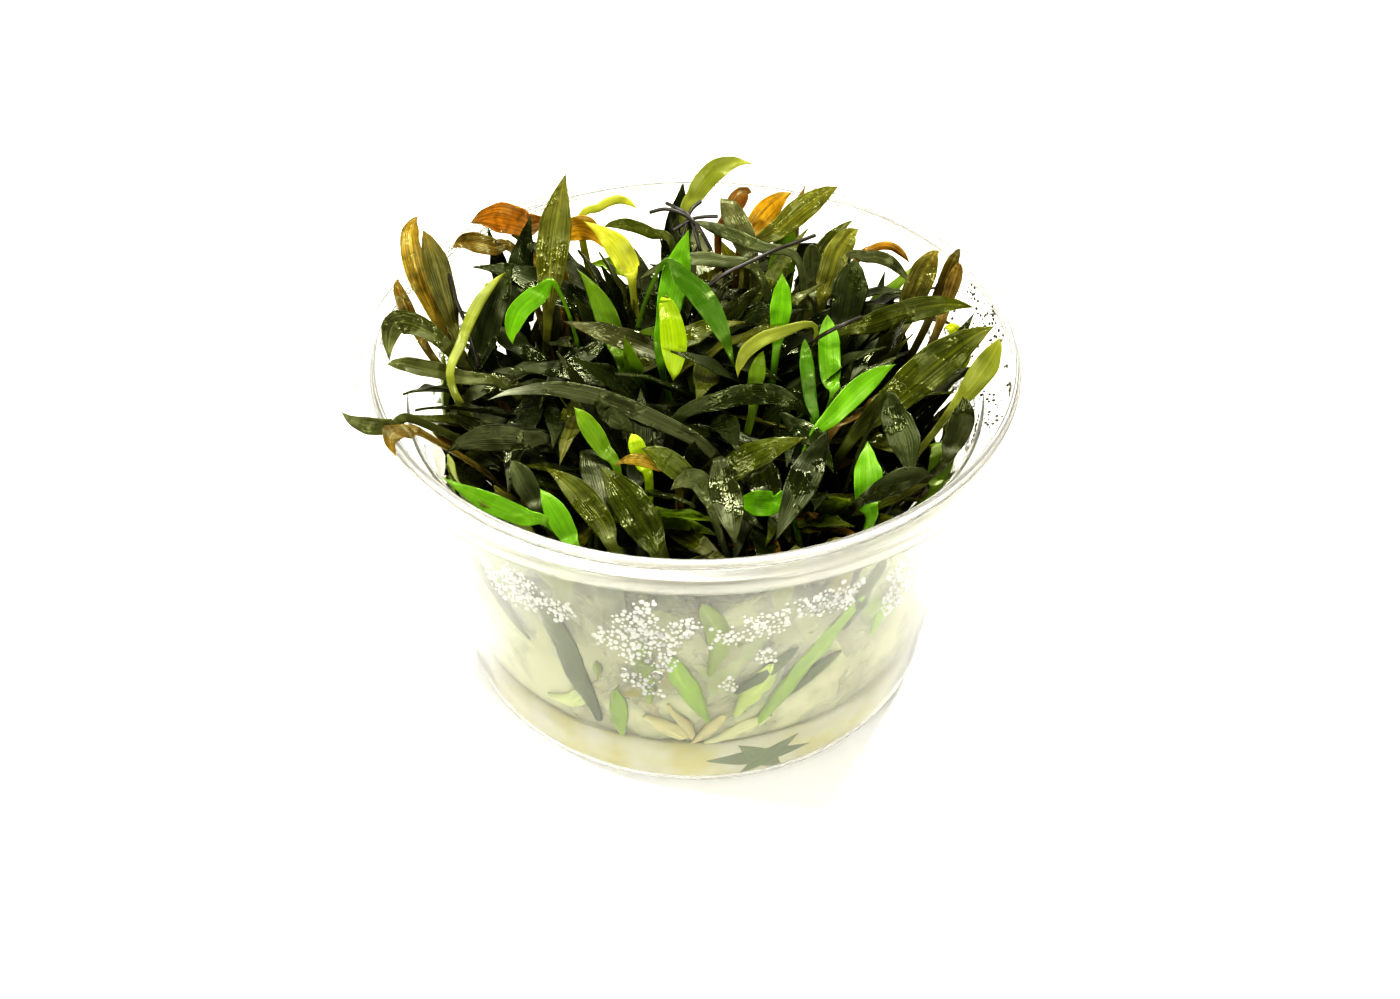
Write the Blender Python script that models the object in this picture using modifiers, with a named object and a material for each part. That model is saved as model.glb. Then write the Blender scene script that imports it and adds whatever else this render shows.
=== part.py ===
"""A tissue culture cup of Cryptocoryne wendtii: a clear cup, agar gel, twelve young plants and their leaves."""
import math
import random

import bpy
import bmesh
from mathutils import Quaternion, Vector
from mathutils.bvhtree import BVHTree

for old in list(bpy.data.objects):
    bpy.data.objects.remove(old, do_unlink=True)

# Sizes are in millimetres, and MM turns them into metres. GAP is kept between pieces that touch.
MM = 0.001
GAP = 0.3
TURN_STEPS = 32

# The cup: a thin tapered wall, a shoulder, a mouth with a bead, a flange and a lip that hangs from it.
CUP_HEIGHT = 56.5
RIM_RADIUS = 50.0
MOUTH_RADIUS = 46.4
WALL = 0.6
BASE_RADIUS = 36.9
WALL_TOP_RADIUS = 43.0
SHOULDER_HEIGHT = 50.0
CORNER = 3.4
FLOOR = 0.9
LIP_DROP = 3.5
BEAD = 1.1
FLANGE_DROP = 1.1

# The gel, and the crowns that sit in it on a spiral.
GEL_TOP = 10.0
MENISCUS = 0.7
CROWN_COUNT = 12
CROWN_SPREAD = 30.0
CROWN_RADIUS = 3.2
CROWN_DEPTH = 4.2
CROWN_RISE = 1.0
CROWN_SIDES = 8
GOLDEN_ANGLE = math.radians(137.508)

# Stalks spring from spots on a crown, a little below its top, or from the gel beside it.
STALK_SPOTS = 15
STALK_RING = 2.3
STALK_SINK = 0.5
FEET_BESIDE = (3.8, 5.4, 7.0, 8.6)
FEET_AROUND = 10
FEET_FROM_WALL = 2.2
STALK_WIDTH = 1.2
STALK_THICKNESS = 1.1
STALK_STATIONS = (0.0, 0.5)

# Blades: a thin four-sided section with its edges raised, and the width at shares of its length.
BLADE_THICKNESS = 0.7
FOLD = 0.18
LANCE = ((0.0, 0.3), (0.25, 0.84), (0.52, 1.0), (0.78, 0.66))
OVAL = ((0.0, 0.35), (0.22, 0.88), (0.52, 1.0), (0.82, 0.74))
STRAP = ((0.0, 0.55), (0.3, 0.92), (0.6, 1.0), (0.85, 0.68))
YOUNG = ((0.0, 0.3), (0.35, 0.95), (0.7, 0.8))

# A leaf that has no room moves back or forward by these steps, along a line that slopes down to the back.
BACKWARD = Vector((0.0, 0.757, -0.654))
DEPTH_STEPS = (0, 1, -1, 2, -2, 3, -3, 4, -4, 5, -5, 6, -6, 7.5, -7.5, 9, -9)
CLEARANCE = GAP + 0.05
TOUCH = 0.05

# Single leaves: name, tint, form, width, turn of the blade in degrees, then the blade's tip, middle and base.
LEAVES = (
    ("leaf_tall_olive", "olive", LANCE, 5.3, 0, (-19.7, 24, 71), (-21.7, 21, 61.8), (-23, 16, 50)),
    ("leaf_orange_arched", "amber", LANCE, 4.8, 0, (-36, 31, 57.5), (-30.5, 31, 58.5), (-23, 27, 57.5)),
    ("leaf_orange_low", "amber", LANCE, 3.4, 10, (-38, 24, 57.5), (-35, 27, 56.5), (-28, 25, 55)),
    ("leaf_left_torn", "brown", STRAP, 3.4, -10, (-42, 19, 66.5), (-43, 16, 61.4), (-39, 11, 52)),
    ("leaf_left_brown", "brown", LANCE, 3.9, 15, (-41, 16, 66), (-39, 13, 61), (-36, 8, 50)),
    ("leaf_left_curled", "dark", STRAP, 3.6, 0, (-45, -1, 54), (-43.5, 4, 57.5), (-36, 2, 53)),
    ("leaf_left_grey", "grey", STRAP, 2.7, 25, (-44.8, -5, 56.5), (-39, -3, 54), (-27, -2, 49)),
    ("leaf_left_strap", "lime", STRAP, 1.8, 0, (-28.9, 15, 59), (-33.6, 7, 56.5), (-35.5, -6, 53)),
    ("leaf_left_bright", "green", OVAL, 3.3, 0, (-27.4, 4, 53.5), (-26.3, 8, 57), (-20.5, 10, 60)),
    ("leaf_back_dark", "dark", LANCE, 4.2, 20, (-25.8, 27, 61.5), (-27.6, 22, 54.7), (-29, 15, 46)),
    ("leaf_left_dark", "dark", LANCE, 4.8, -15, (-27.8, 17, 59.5), (-31, 12, 54), (-34, 5, 45)),
    ("leaf_back_amber", "amber", LANCE, 4.2, 0, (-14.4, 26, 56), (-17.8, 28, 58.5), (-22, 25, 58)),
    ("leaf_back_pale_arch", "lime", STRAP, 1.5, 0, (-9.5, 36, 57), (-13.6, 37, 58), (-18.5, 33, 55.5)),
    ("leaf_back_yellow", "yellow", LANCE, 3.9, 0, (-17.3, 24, 62.4), (-11.7, 20, 59.7), (-9.7, 17, 54.5)),
    ("leaf_middle_upright", "green", LANCE, 4.1, 0, (-1, 16, 66), (-3.1, 11, 60.5), (-5.4, 4, 51)),
    ("leaf_middle_lime", "lime", OVAL, 3.9, 0, (-3.3, -3, 52), (-3.2, 0, 56.9), (-4.2, 4, 61)),
    ("leaf_middle_bent", "green", LANCE, 3.6, 0, (5.9, 1, 51), (1.5, 6, 59.8), (-5, 9.5, 63.5)),
    ("leaf_middle_grey_arch", "grey", STRAP, 2.4, 20, (-8.6, 17, 56.4), (0.2, 18, 59.4), (10, 15, 58)),
    ("leaf_back_yellow_top", "yellow", LANCE, 3.4, 0, (9.4, 40, 63), (2.7, 38, 62.6), (-2, 33, 56)),
    ("leaf_back_amber_right", "amber", LANCE, 3.7, 0, (15.2, 33, 62), (11.4, 31, 60), (7, 27, 55.5)),
    ("leaf_back_olive", "olive", LANCE, 3.9, 0, (22.5, 32, 63.7), (16.8, 29, 61.5), (8.5, 24, 56)),
    ("leaf_back_grey", "grey", STRAP, 2.2, 10, (-0.5, 28, 60), (6.5, 24, 59.4), (16.1, 20, 57)),
    ("leaf_right_blunt", "olive", OVAL, 4.0, 0, (25.5, 26, 59.7), (21.9, 22, 57.4), (19.5, 16, 51)),
    ("leaf_right_dark", "dark", LANCE, 5.4, 0, (24.9, 20, 58), (23.7, 16, 55.1), (22, 9, 48)),
    ("leaf_right_tip", "olive", LANCE, 4.1, 0, (37.3, 19, 60.3), (34.5, 16, 57.3), (30, 7, 50)),
    ("leaf_right_level", "dark", LANCE, 3.7, 20, (41.9, 8, 57.4), (33, 8, 57.2), (19.5, 5, 53)),
    ("leaf_right_big", "olive", LANCE, 5.8, 0, (44.2, 3, 57.6), (35, -3, 55), (22.5, -12, 48)),
    ("leaf_right_edge", "green", LANCE, 3.7, 10, (44.6, 0, 57.6), (42.2, -4, 55.3), (36.5, -9, 50)),
    ("leaf_right_diagonal", "green", LANCE, 3.2, 0, (29.1, -5, 56.5), (23.3, -10, 55.6), (16, -18, 52)),
    ("leaf_right_spoon", "green", OVAL, 3.4, 0, (19.7, 6, 57.5), (19.8, 1, 54.5), (20, -6, 50)),
    ("leaf_middle_strap", "green", STRAP, 2.2, 0, (16.2, 2, 56), (16.5, -3, 53), (17.4, -11, 48)),
    ("leaf_right_upright", "green", LANCE, 3.2, 0, (13.1, 14, 59.6), (12.9, 10, 56.4), (12, 4, 51)),
    ("leaf_middle_olive_arch", "yellow", STRAP, 2.1, 0, (6.2, -5, 54), (9, -1, 57.5), (18, 2, 58)),
    ("leaf_front_long", "grey", STRAP, 3.8, 10, (-30.2, -8, 52.3), (-15.3, -9, 54), (3, -18, 49.5)),
    ("leaf_front_bridge", "dark", STRAP, 3.1, 10, (16.9, -12, 52), (8.6, -9, 54.3), (-3, -12, 51)),
    ("leaf_left_overhanging", "brown", LANCE, 2.5, 0, (-49.3, -18, 58), (-44.7, -21.5, 58.2), (-38.5, -19.5, 57.5)),
    ("leaf_left_under", "brown", LANCE, 3.1, 10, (-40.6, -27, 57.4), (-41.2, -23.7, 58.6), (-37, -20, 55)),
    ("leaf_front_left_rim", "green", LANCE, 2.9, 0, (-35, -26, 52.8), (-27.2, -31, 52), (-19.5, -33, 50)),
    ("leaf_front_left_green", "green", LANCE, 3.2, 0, (-21.2, -28, 52.4), (-18.7, -32, 51), (-15.5, -36, 47)),
    ("leaf_front_left_olive", "olive", LANCE, 3.8, 0, (-21, -23, 52), (-15, -29, 51), (-10, -36, 47)),
    ("leaf_front_ochre", "amber", LANCE, 1.8, 0, (-11.3, -24, 53.1), (-7.6, -23, 53.4), (-2.5, -24, 51)),
    ("leaf_front_bright", "green", OVAL, 3.5, 0, (6, -30, 52.2), (8.8, -31, 52.4), (12.5, -29, 51)),
    ("leaf_front_curled", "grey", OVAL, 3.0, 0, (-3.5, -28, 52), (0.5, -27, 53), (2.8, -32, 50)),
    ("leaf_front_right_upright", "green", LANCE, 4.1, 0, (24.3, -18, 52.6), (24.1, -24, 50.8), (24, -29, 46)),
    ("leaf_front_right_dark", "dark", LANCE, 4.8, 0, (30.2, -24, 50.5), (29.3, -18, 53.5), (27, -12, 55)),
    ("leaf_wall_dark", "dark", LANCE, 3.3, 0, (-22.4, -32, 37), (-19, -33.2, 30), (-15.2, -33.8, 21)),
)

# Leaves that stay joined to a crown, in the same terms but for the name: low ones along the front wall first.
JOINED_LEAVES = (
    ("lime", OVAL, 3.4, 0, (-11.2, -34.6, 21), (-10.9, -34, 17), (-10.5, -33, 12.5)),
    ("green", LANCE, 3.9, 0, (-2.7, -37, 30), (-1, -36.6, 24), (1.6, -35.6, 17)),
    ("green", STRAP, 2.0, 0, (14.5, -33.5, 22.5), (12.3, -33.8, 19), (9.8, -33.8, 15)),
    ("dark", LANCE, 2.0, 0, (19.2, -31.5, 25), (16.4, -32.6, 23.4), (13.5, -33.4, 20.5)),
    ("dark", LANCE, 2.0, 0, (12.4, -35.2, 29), (9.3, -35.7, 26.4), (6, -35.6, 22)),
    ("olive", LANCE, 3.0, 0, (24, -30.5, 38.5), (19.6, -32.2, 31.5), (13.5, -33.6, 24)),
    ("olive", LANCE, 1.9, 0, (-32, -24, 38), (-28.8, -25.5, 31), (-23.5, -27.5, 24)),
    ("amber", LANCE, 2.3, 0, (-8.3, -34.6, 17.5), (-5.2, -34.8, 15.5), (-2.3, -34, 12.6)),
    ("olive", LANCE, 2.1, 0, (40.6, 19, 60.7), (38.8, 17, 58), (35, 11, 51)),
    ("olive", LANCE, 3.3, 0, (-25.9, -22, 52.4), (-23.8, -25, 51.3), (-21, -29, 47)),
    ("grey", STRAP, 2.0, 10, (33.5, 18, 54.9), (28.9, 21, 58), (23.2, 20, 57)),
    ("green", OVAL, 3.4, 0, (33.5, -18, 52), (35, -20.5, 51.8), (33, -24, 47)),
    ("brown", LANCE, 2.2, 0, (-44.5, 10, 61.3), (-43.6, 8, 58), (-39, 4, 50)),
    ("olive", STRAP, 2.0, 0, (-14.6, 30, 57.5), (-9.5, 29, 58.2), (-3.5, 26, 56)),
    ("brown", LANCE, 3.0, 0, (8.9, 34, 61.3), (6.6, 33, 60.5), (3.5, 29, 55)),
    ("dark", OVAL, 3.9, 0, (3.9, 33, 60.8), (6.6, 28, 59), (9.2, 22, 54)),
    ("dark", OVAL, 3.0, 0, (18.3, 26, 57), (18.4, 24, 54.3), (18.8, 18, 49)),
    ("yellow", STRAP, 1.4, 0, (33.7, 24, 54.5), (29.9, 27, 56), (25, 26, 53)),
    ("brown", LANCE, 2.3, 0, (40.1, 16, 60.1), (39.2, 14, 57.8), (36, 8, 51)),
    ("lime", LANCE, 2.1, 0, (37.4, 7, 54.2), (39.1, 6, 54.2), (40, 2, 51)),
    ("green", LANCE, 2.4, 0, (10, -1, 56), (9, -4, 54), (8, -9, 49)),
    ("dark", LANCE, 3.2, 0, (19.5, -22, 50), (16.5, -18, 53.3), (12, -14, 53)),
    ("dark", LANCE, 3.8, 0, (-35, -20, 52.3), (-28.9, -17, 52.5), (-20, -15, 49)),
    ("lime", LANCE, 2.4, 0, (-8.9, -18, 54), (-8.1, -20, 53), (-6.5, -23, 49)),
    ("olive", LANCE, 3.3, 0, (-7.5, -21, 53.8), (-3.5, -23, 52.9), (2, -26, 49)),
    ("green", LANCE, 2.9, 0, (-17.3, -13, 54.9), (-14.7, -16, 53), (-11, -20.5, 49)),
    ("green", LANCE, 2.9, 0, (-8.5, -15, 51.5), (-11.3, -14, 53.6), (-14.5, -12, 54)),
    ("dark", LANCE, 3.6, 0, (38, -11, 55), (37.5, -15, 53.4), (34, -20, 49)),
    ("dark", LANCE, 3.2, 0, (33, -24, 51.4), (28.5, -25, 51.5), (22, -27, 48)),
    ("brown", LANCE, 3.6, 0, (15.3, -33, 51.4), (19.5, -31, 51.6), (24, -27, 48)),
    ("dark", LANCE, 4.4, 0, (10.6, -38, 51.8), (14.3, -29, 54), (18, -20, 55)),
    ("dark", LANCE, 4.3, 0, (5.3, -39, 51.9), (4.4, -32, 53.2), (2.5, -23, 53)),
    ("olive", LANCE, 5.4, 0, (-13.2, -24, 53), (-8.7, -30, 51), (-4, -36, 46)),
)

# Further upright leaves of each plant, which lean out their own way, to the wall where the plant is near it.
YOUNG_PER_CROWN = 10
YOUNG_TRIALS = 80
YOUNG_HEIGHTS = (33.0, 53.0)
YOUNG_BLADES = (17.0, 26.0)
YOUNG_WIDTHS = (3.6, 5.6)
YOUNG_LEAN = (8.0, 44.0)
YOUNG_TURN = 25.0
STALK_LEAN_SHARE = 0.8
TIP_LEAN_SHARE = 1.5
ARCH = 0.07
INNER_CROWNS = 4
OUTER_SPREAD = 1.7

TINTS = {
    "clear": (0.93, 0.94, 0.92),
    "gel": (0.86, 0.84, 0.58),
    "dark": (0.03, 0.04, 0.015),
    "olive": (0.12, 0.13, 0.03),
    "green": (0.11, 0.36, 0.02),
    "lime": (0.35, 0.5, 0.04),
    "yellow": (0.45, 0.44, 0.08),
    "amber": (0.5, 0.25, 0.02),
    "brown": (0.2, 0.13, 0.04),
    "grey": (0.13, 0.14, 0.1),
}

cup_and_plants = bpy.data.collections.new("tissue_culture_cup")
cutters = bpy.data.collections.new("cutters")
for collection in (cup_and_plants, cutters):
    bpy.context.scene.collection.children.link(collection)


def material(tint):
    """One glossy material for each tint, made when it is first asked for."""
    found = bpy.data.materials.get(tint)
    if found:
        return found
    made = bpy.data.materials.new(tint)
    made.use_nodes = True
    shader = made.node_tree.nodes["Principled BSDF"]
    shader.inputs["Base Color"].default_value = (*TINTS[tint], 1.0)
    shader.inputs["Roughness"].default_value = 0.1 if tint == "clear" else 0.3
    shader.inputs["Metallic"].default_value = 0.0
    if tint in ("clear", "gel"):
        shader.inputs["Transmission Weight"].default_value = 1.0
    return made


def add_piece(name, mesh, tint):
    """A piece of the model."""
    made = bpy.data.objects.new(name, mesh)
    cup_and_plants.objects.link(made)
    mesh.materials.append(material(tint))
    return made


def add_cutter(name, mesh):
    """A guide for a Boolean, left out of the model."""
    made = bpy.data.objects.new(name, mesh)
    cutters.objects.link(made)
    made.hide_render = True
    made.display_type = "WIRE"
    return made


def add_boolean(piece, operand, operation, use_self=False):
    change = piece.modifiers.new(operand.name, "BOOLEAN")
    change.operation = operation
    change.solver = "EXACT"
    change.use_self = use_self
    change.object = operand


def turned(name, profile, tint):
    """A turned piece: its profile in millimetres, from the axis inside to the axis underneath."""
    mesh = bpy.data.meshes.new(name)
    points = [(radius * MM, 0.0, height * MM) for radius, height in profile]
    mesh.from_pydata(points, [(i, i + 1) for i in range(len(points) - 1)], [])
    made = add_piece(name, mesh, tint)
    screw = made.modifiers.new("turn", "SCREW")
    screw.steps = screw.render_steps = TURN_STEPS
    screw.use_merge_vertices = True
    screw.merge_threshold = 0.00001
    return made


def corner(centre_radius, centre_height, radius, start, end, steps):
    """Points of a rounded corner, as an arc about its centre, with angles in degrees."""
    angles = [math.radians(start + (end - start) * i / steps) for i in range(steps + 1)]
    return [(centre_radius + radius * math.cos(a), centre_height + radius * math.sin(a)) for a in angles]


def wall_radius(height):
    """Outer radius of the tapered wall at a height."""
    share = (height - CORNER) / (SHOULDER_HEIGHT - CORNER)
    return BASE_RADIUS + (WALL_TOP_RADIUS - BASE_RADIUS) * share


def cup_profile():
    """Up the inside, over the bead and the flange, round the lip and down the outside."""
    inside_corner = CORNER - WALL
    shoulder = SHOULDER_HEIGHT + WALL
    flange = CUP_HEIGHT - FLANGE_DROP
    lip_bottom = CUP_HEIGHT - LIP_DROP
    outside = MOUTH_RADIUS + WALL
    return (
        [(0.0, FLOOR)]
        + corner(BASE_RADIUS - CORNER, FLOOR + inside_corner, inside_corner, -90, 0, 3)
        + [
            (wall_radius(SHOULDER_HEIGHT) - WALL, shoulder),
            (MOUTH_RADIUS - 0.5, shoulder + 0.5),
            (MOUTH_RADIUS, shoulder + 1.1),
            (MOUTH_RADIUS, CUP_HEIGHT - 0.3),
            (MOUTH_RADIUS + 0.4, CUP_HEIGHT),
            (MOUTH_RADIUS + BEAD, CUP_HEIGHT - 0.3),
            (MOUTH_RADIUS + BEAD + 0.2, flange + 0.2),
            (RIM_RADIUS - 0.6, flange),
            (RIM_RADIUS, flange - 0.5),
            (RIM_RADIUS, lip_bottom),
            (RIM_RADIUS - WALL, lip_bottom),
            (RIM_RADIUS - WALL - 0.2, flange - WALL - 0.3),
            (outside + 0.3, flange - WALL),
            (outside, flange - WALL - 0.4),
            (outside, SHOULDER_HEIGHT + 1.2),
            (WALL_TOP_RADIUS, SHOULDER_HEIGHT - 0.2),
        ]
        + corner(BASE_RADIUS - CORNER, CORNER, CORNER, 0, -90, 3)
        + [(0.0, 0.0)]
    )


def gel_edge():
    """Radius of the gel where its top meets the wall."""
    return wall_radius(GEL_TOP) - WALL - GAP


def gel_profile():
    """The set gel fills the foot of the cup and climbs a little at the wall."""
    inside_corner = CORNER - WALL
    return (
        [(0.0, GEL_TOP), (gel_edge() - 1.2, GEL_TOP), (gel_edge(), GEL_TOP + MENISCUS)]
        + corner(BASE_RADIUS - CORNER, FLOOR + inside_corner, inside_corner - GAP, 0, -90, 2)
        + [(0.0, FLOOR + GAP)]
    )


def crown_place(index):
    """Crowns stand on a spiral that fills the gel evenly."""
    radius = CROWN_SPREAD * math.sqrt((index + 0.5) / CROWN_COUNT)
    angle = index * GOLDEN_ANGLE
    return Vector((radius * math.cos(angle), radius * math.sin(angle), GEL_TOP))


def crown_mesh(name, place, grow):
    """A crown: a short tuber that narrows down into the gel, made larger all round by grow."""
    form = bmesh.new()
    height = CROWN_DEPTH + CROWN_RISE + 2 * grow
    bmesh.ops.create_cone(
        form,
        cap_ends=True,
        segments=CROWN_SIDES,
        depth=height * MM,
        radius1=(CROWN_RADIUS * 0.6 + grow) * MM,
        radius2=(CROWN_RADIUS + grow) * MM,
    )
    middle = place.z + CROWN_RISE + grow - height / 2
    bmesh.ops.translate(form, verts=form.verts, vec=Vector((place.x, place.y, middle)) * MM)
    mesh = bpy.data.meshes.new(name)
    form.to_mesh(mesh)
    form.free()
    return mesh


def leaf_stations(foot, base, middle, tip, form, width):
    """Centre points, widths and thicknesses along a leaf, from the foot of its stalk to its tip."""
    bend = middle * 2 - (base + tip) / 2
    reach = (base - foot).length
    rise = Vector((0, 0, reach * 0.9))
    run = (bend - base).normalized() * reach * 0.45
    stations = []
    for t in STALK_STATIONS:
        point = (
            foot * (2 * t**3 - 3 * t**2 + 1)
            + rise * (t**3 - 2 * t**2 + t)
            + base * (3 * t**2 - 2 * t**3)
            + run * (t**3 - t**2)
        )
        stations.append((point, STALK_WIDTH, STALK_THICKNESS))
    for t, share in form:
        point = base * (1 - t) ** 2 + bend * 2 * t * (1 - t) + tip * t**2
        stations.append((point, max(width * share, STALK_WIDTH), BLADE_THICKNESS))
    return stations + [(tip, 0.0, 0.0)]


def leaf_normals(points, tangents, facing, turn):
    """The blade's middle faces the given way, and that facing is carried to both ends without twist."""
    middle = len(points) - 3
    flat = (facing - tangents[middle] * facing.dot(tangents[middle])).normalized()
    normals = {middle: Quaternion(tangents[middle], math.radians(turn)) @ flat}
    for i in range(middle + 1, len(points)):
        normals[i] = tangents[i - 1].rotation_difference(tangents[i]) @ normals[i - 1]
    for i in range(middle - 1, -1, -1):
        normals[i] = tangents[i + 1].rotation_difference(tangents[i]) @ normals[i + 1]
    return normals


def leaf_solid(stations, facing, turn, grow=0.0):
    """Points and faces of a leaf: a left edge, a top, a right edge and an underside at each station."""
    points = [station[0] for station in stations]
    last = len(points) - 1
    tangents = [(points[min(i + 1, last)] - points[max(i - 1, 0)]).normalized() for i in range(last + 1)]
    tangents[0] = Vector((0, 0, 1))
    normals = leaf_normals(points, tangents, facing, turn)
    vertices = []
    for i, (point, width, thickness) in enumerate(stations[:-1]):
        side = tangents[i].cross(normals[i]) * (width / 2 + grow)
        raised = normals[i] * (width * FOLD / 2 if width > STALK_WIDTH else 0.0)
        deep = normals[i] * (thickness / 2 + grow)
        vertices += [point - side + raised, point + deep, point + side + raised, point - deep]
    vertices.append(points[last] + tangents[last] * grow)
    faces = [(3, 2, 1, 0)]
    for ring in range(0, (last - 1) * 4, 4):
        for k in range(4):
            a, b = ring + k, ring + (k + 1) % 4
            faces.append((a, b, b + 4, a + 4))
    end = (last - 1) * 4
    faces += [(end + k, end + (k + 1) % 4, end + 4) for k in range(4)]
    return vertices, faces


def to_mesh(name, solids):
    """One mesh of solids given in millimetres."""
    vertices, faces = [], []
    for solid_vertices, solid_faces in solids:
        start = len(vertices)
        vertices += [tuple(v * MM) for v in solid_vertices]
        faces += [tuple(i + start for i in face) for face in solid_faces]
    mesh = bpy.data.meshes.new(name)
    mesh.from_pydata(vertices, [], faces)
    return mesh


def box_of(vertices):
    return [min(v[k] for v in vertices) for k in range(3)], [max(v[k] for v in vertices) for k in range(3)]


def tree_of(vertices, faces):
    return BVHTree.FromPolygons([tuple(v) for v in vertices], faces)


# All that stands in the cup so far: what it is, its box and its tree for the overlap test.
standing = []


def stand(kind, vertices, faces):
    standing.append((kind, box_of(vertices), tree_of(vertices, faces)))


def stand_piece(kind, piece):
    """Notes a finished piece that later leaves have to clear."""
    bpy.context.view_layer.update()
    mesh = piece.evaluated_get(bpy.context.evaluated_depsgraph_get()).to_mesh()
    stand(kind, [v.co / MM for v in mesh.vertices], [tuple(p.vertices) for p in mesh.polygons])


def has_room(plant, grown, slim):
    """A leaf keeps the gap to all that stands. It may meet its own crown, and near it its own plant's leaves."""
    low, high = box_of(grown[0])
    grown_tree, slim_tree = tree_of(*grown), tree_of(*slim)
    for kind, (other_low, other_high), other_tree in standing:
        apart = any(low[k] > other_high[k] or other_low[k] > high[k] for k in range(3))
        if apart or (plant is not None and kind == ("crown", plant)):
            continue
        same_plant = plant is not None and kind == ("leaf", plant)
        if (slim_tree if same_plant else grown_tree).overlap(other_tree):
            return False
    return True


def nearest_crowns(place, count):
    order = sorted(range(CROWN_COUNT), key=lambda i: (crown_place(i).xy - place.xy).length)
    return order[:count]


def feet_beside_crowns(base):
    """Feet of a single leaf, on the gel round the crowns nearest to its blade."""
    for distance in FEET_BESIDE:
        for crown in nearest_crowns(base, 2):
            for spin in range(FEET_AROUND):
                angle = spin * GOLDEN_ANGLE
                foot = crown_place(crown) + Vector((math.cos(angle), math.sin(angle), 0)) * distance
                if foot.xy.length < gel_edge() - FEET_FROM_WALL:
                    yield None, foot + Vector((0, 0, GAP))


def spots_on(crown):
    """Feet of joined leaves, on a small spiral over the top of a crown."""
    for spot in range(STALK_SPOTS):
        angle = spot * GOLDEN_ANGLE
        radius = STALK_RING * math.sqrt((spot + 0.3) / STALK_SPOTS)
        across = Vector((math.cos(angle), math.sin(angle), 0)) * radius
        yield crown, crown_place(crown) + across + Vector((0, 0, CROWN_RISE - STALK_SINK))


def feet_on_crowns(base):
    for crown in nearest_crowns(base, 3):
        yield from spots_on(crown)


def place_leaf(form, width, turn, tip, middle, base, feet, facing=-BACKWARD, steps=DEPTH_STEPS):
    """Sets a leaf where it has room, and gives its plant and its solid. It tries each foot at each step."""
    tip, middle, base = Vector(tip), Vector(middle), Vector(base)
    for step in steps:
        shift = BACKWARD * step
        for plant, foot in feet(base):
            stations = leaf_stations(foot, base + shift, middle + shift, tip + shift, form, width)
            grown = leaf_solid(stations, facing, turn, CLEARANCE)
            slim = leaf_solid(stations, facing, turn, TOUCH)
            if has_room(plant, grown, slim):
                solid = leaf_solid(stations, facing, turn)
                stand(("leaf", plant), *solid)
                return plant, solid
    return None


def young_leaf(crown, draw):
    """A random upright leaf of a plant, or None where it has no room."""
    place, up = crown_place(crown), Vector((0, 0, 1))
    spread = math.pi if crown < INNER_CROWNS else OUTER_SPREAD
    heading = math.atan2(place.y, place.x) + draw.uniform(-spread, spread)
    lean = math.radians(draw.uniform(*YOUNG_LEAN))
    height, blade = draw.uniform(*YOUNG_HEIGHTS), draw.uniform(*YOUNG_BLADES)
    width, turn = draw.uniform(*YOUNG_WIDTHS), draw.uniform(-YOUNG_TURN, YOUNG_TURN)
    out = Vector((math.cos(heading), math.sin(heading), 0))
    base = place + (up + out * math.tan(lean) * STALK_LEAN_SHARE) * (height - blade)
    tip = base + (up * math.cos(lean * TIP_LEAN_SHARE) + out * math.sin(lean * TIP_LEAN_SHARE)) * blade
    middle = (base + tip) / 2 + (up - out * 0.5) * blade * ARCH
    facing = (up - out * 0.7).normalized()
    return place_leaf(YOUNG, width, turn, tip, middle, base, lambda _: spots_on(crown), facing, (0,))


def young_leaves():
    draw = random.Random(5)
    for crown in range(CROWN_COUNT):
        for _ in range(YOUNG_PER_CROWN):
            trials = (young_leaf(crown, draw) for _ in range(YOUNG_TRIALS))
            placed = next((leaf for leaf in trials if leaf), None)
            if placed:
                yield placed


def build_cup_and_gel():
    cup = turned("cup", cup_profile(), "clear")
    gel = turned("agar_gel", gel_profile(), "gel")
    for index in range(CROWN_COUNT):
        name = f"crown_pocket_{index + 1}"
        add_boolean(gel, add_cutter(name, crown_mesh(name, crown_place(index), GAP)), "DIFFERENCE")
    stand_piece("cup", cup)
    stand_piece("gel", gel)


def build_crowns():
    """The crown of each plant. Its joined leaves are added to it at the end."""
    crowns = []
    for index in range(CROWN_COUNT):
        name = f"plant_{index + 1}"
        crowns.append(add_piece(name, crown_mesh(name, crown_place(index), 0.0), "dark"))
        stand_piece(("crown", index), crowns[-1])
    return crowns


def build_single_leaves():
    for name, tint, *leaf in LEAVES:
        placed = place_leaf(*leaf, feet_beside_crowns)
        if placed:
            add_piece(name, to_mesh(name, [placed[1]]), tint)
        else:
            print("no room for", name)


def build_joined_leaves(crowns):
    placed = [place_leaf(*leaf, feet_on_crowns) for tint, *leaf in JOINED_LEAVES]
    placed = [leaf for leaf in placed if leaf] + list(young_leaves())
    for index, crown in enumerate(crowns):
        name = f"leaves_of_plant_{index + 1}"
        own = [solid for plant, solid in placed if plant == index]
        add_boolean(crown, add_cutter(name, to_mesh(name, own)), "UNION", use_self=True)


build_cup_and_gel()
plant_crowns = build_crowns()
build_single_leaves()
build_joined_leaves(plant_crowns)
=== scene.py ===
import math
import random

import bpy
import bmesh
from mathutils import Matrix, Vector, noise
from mathutils.bvhtree import BVHTree


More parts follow.
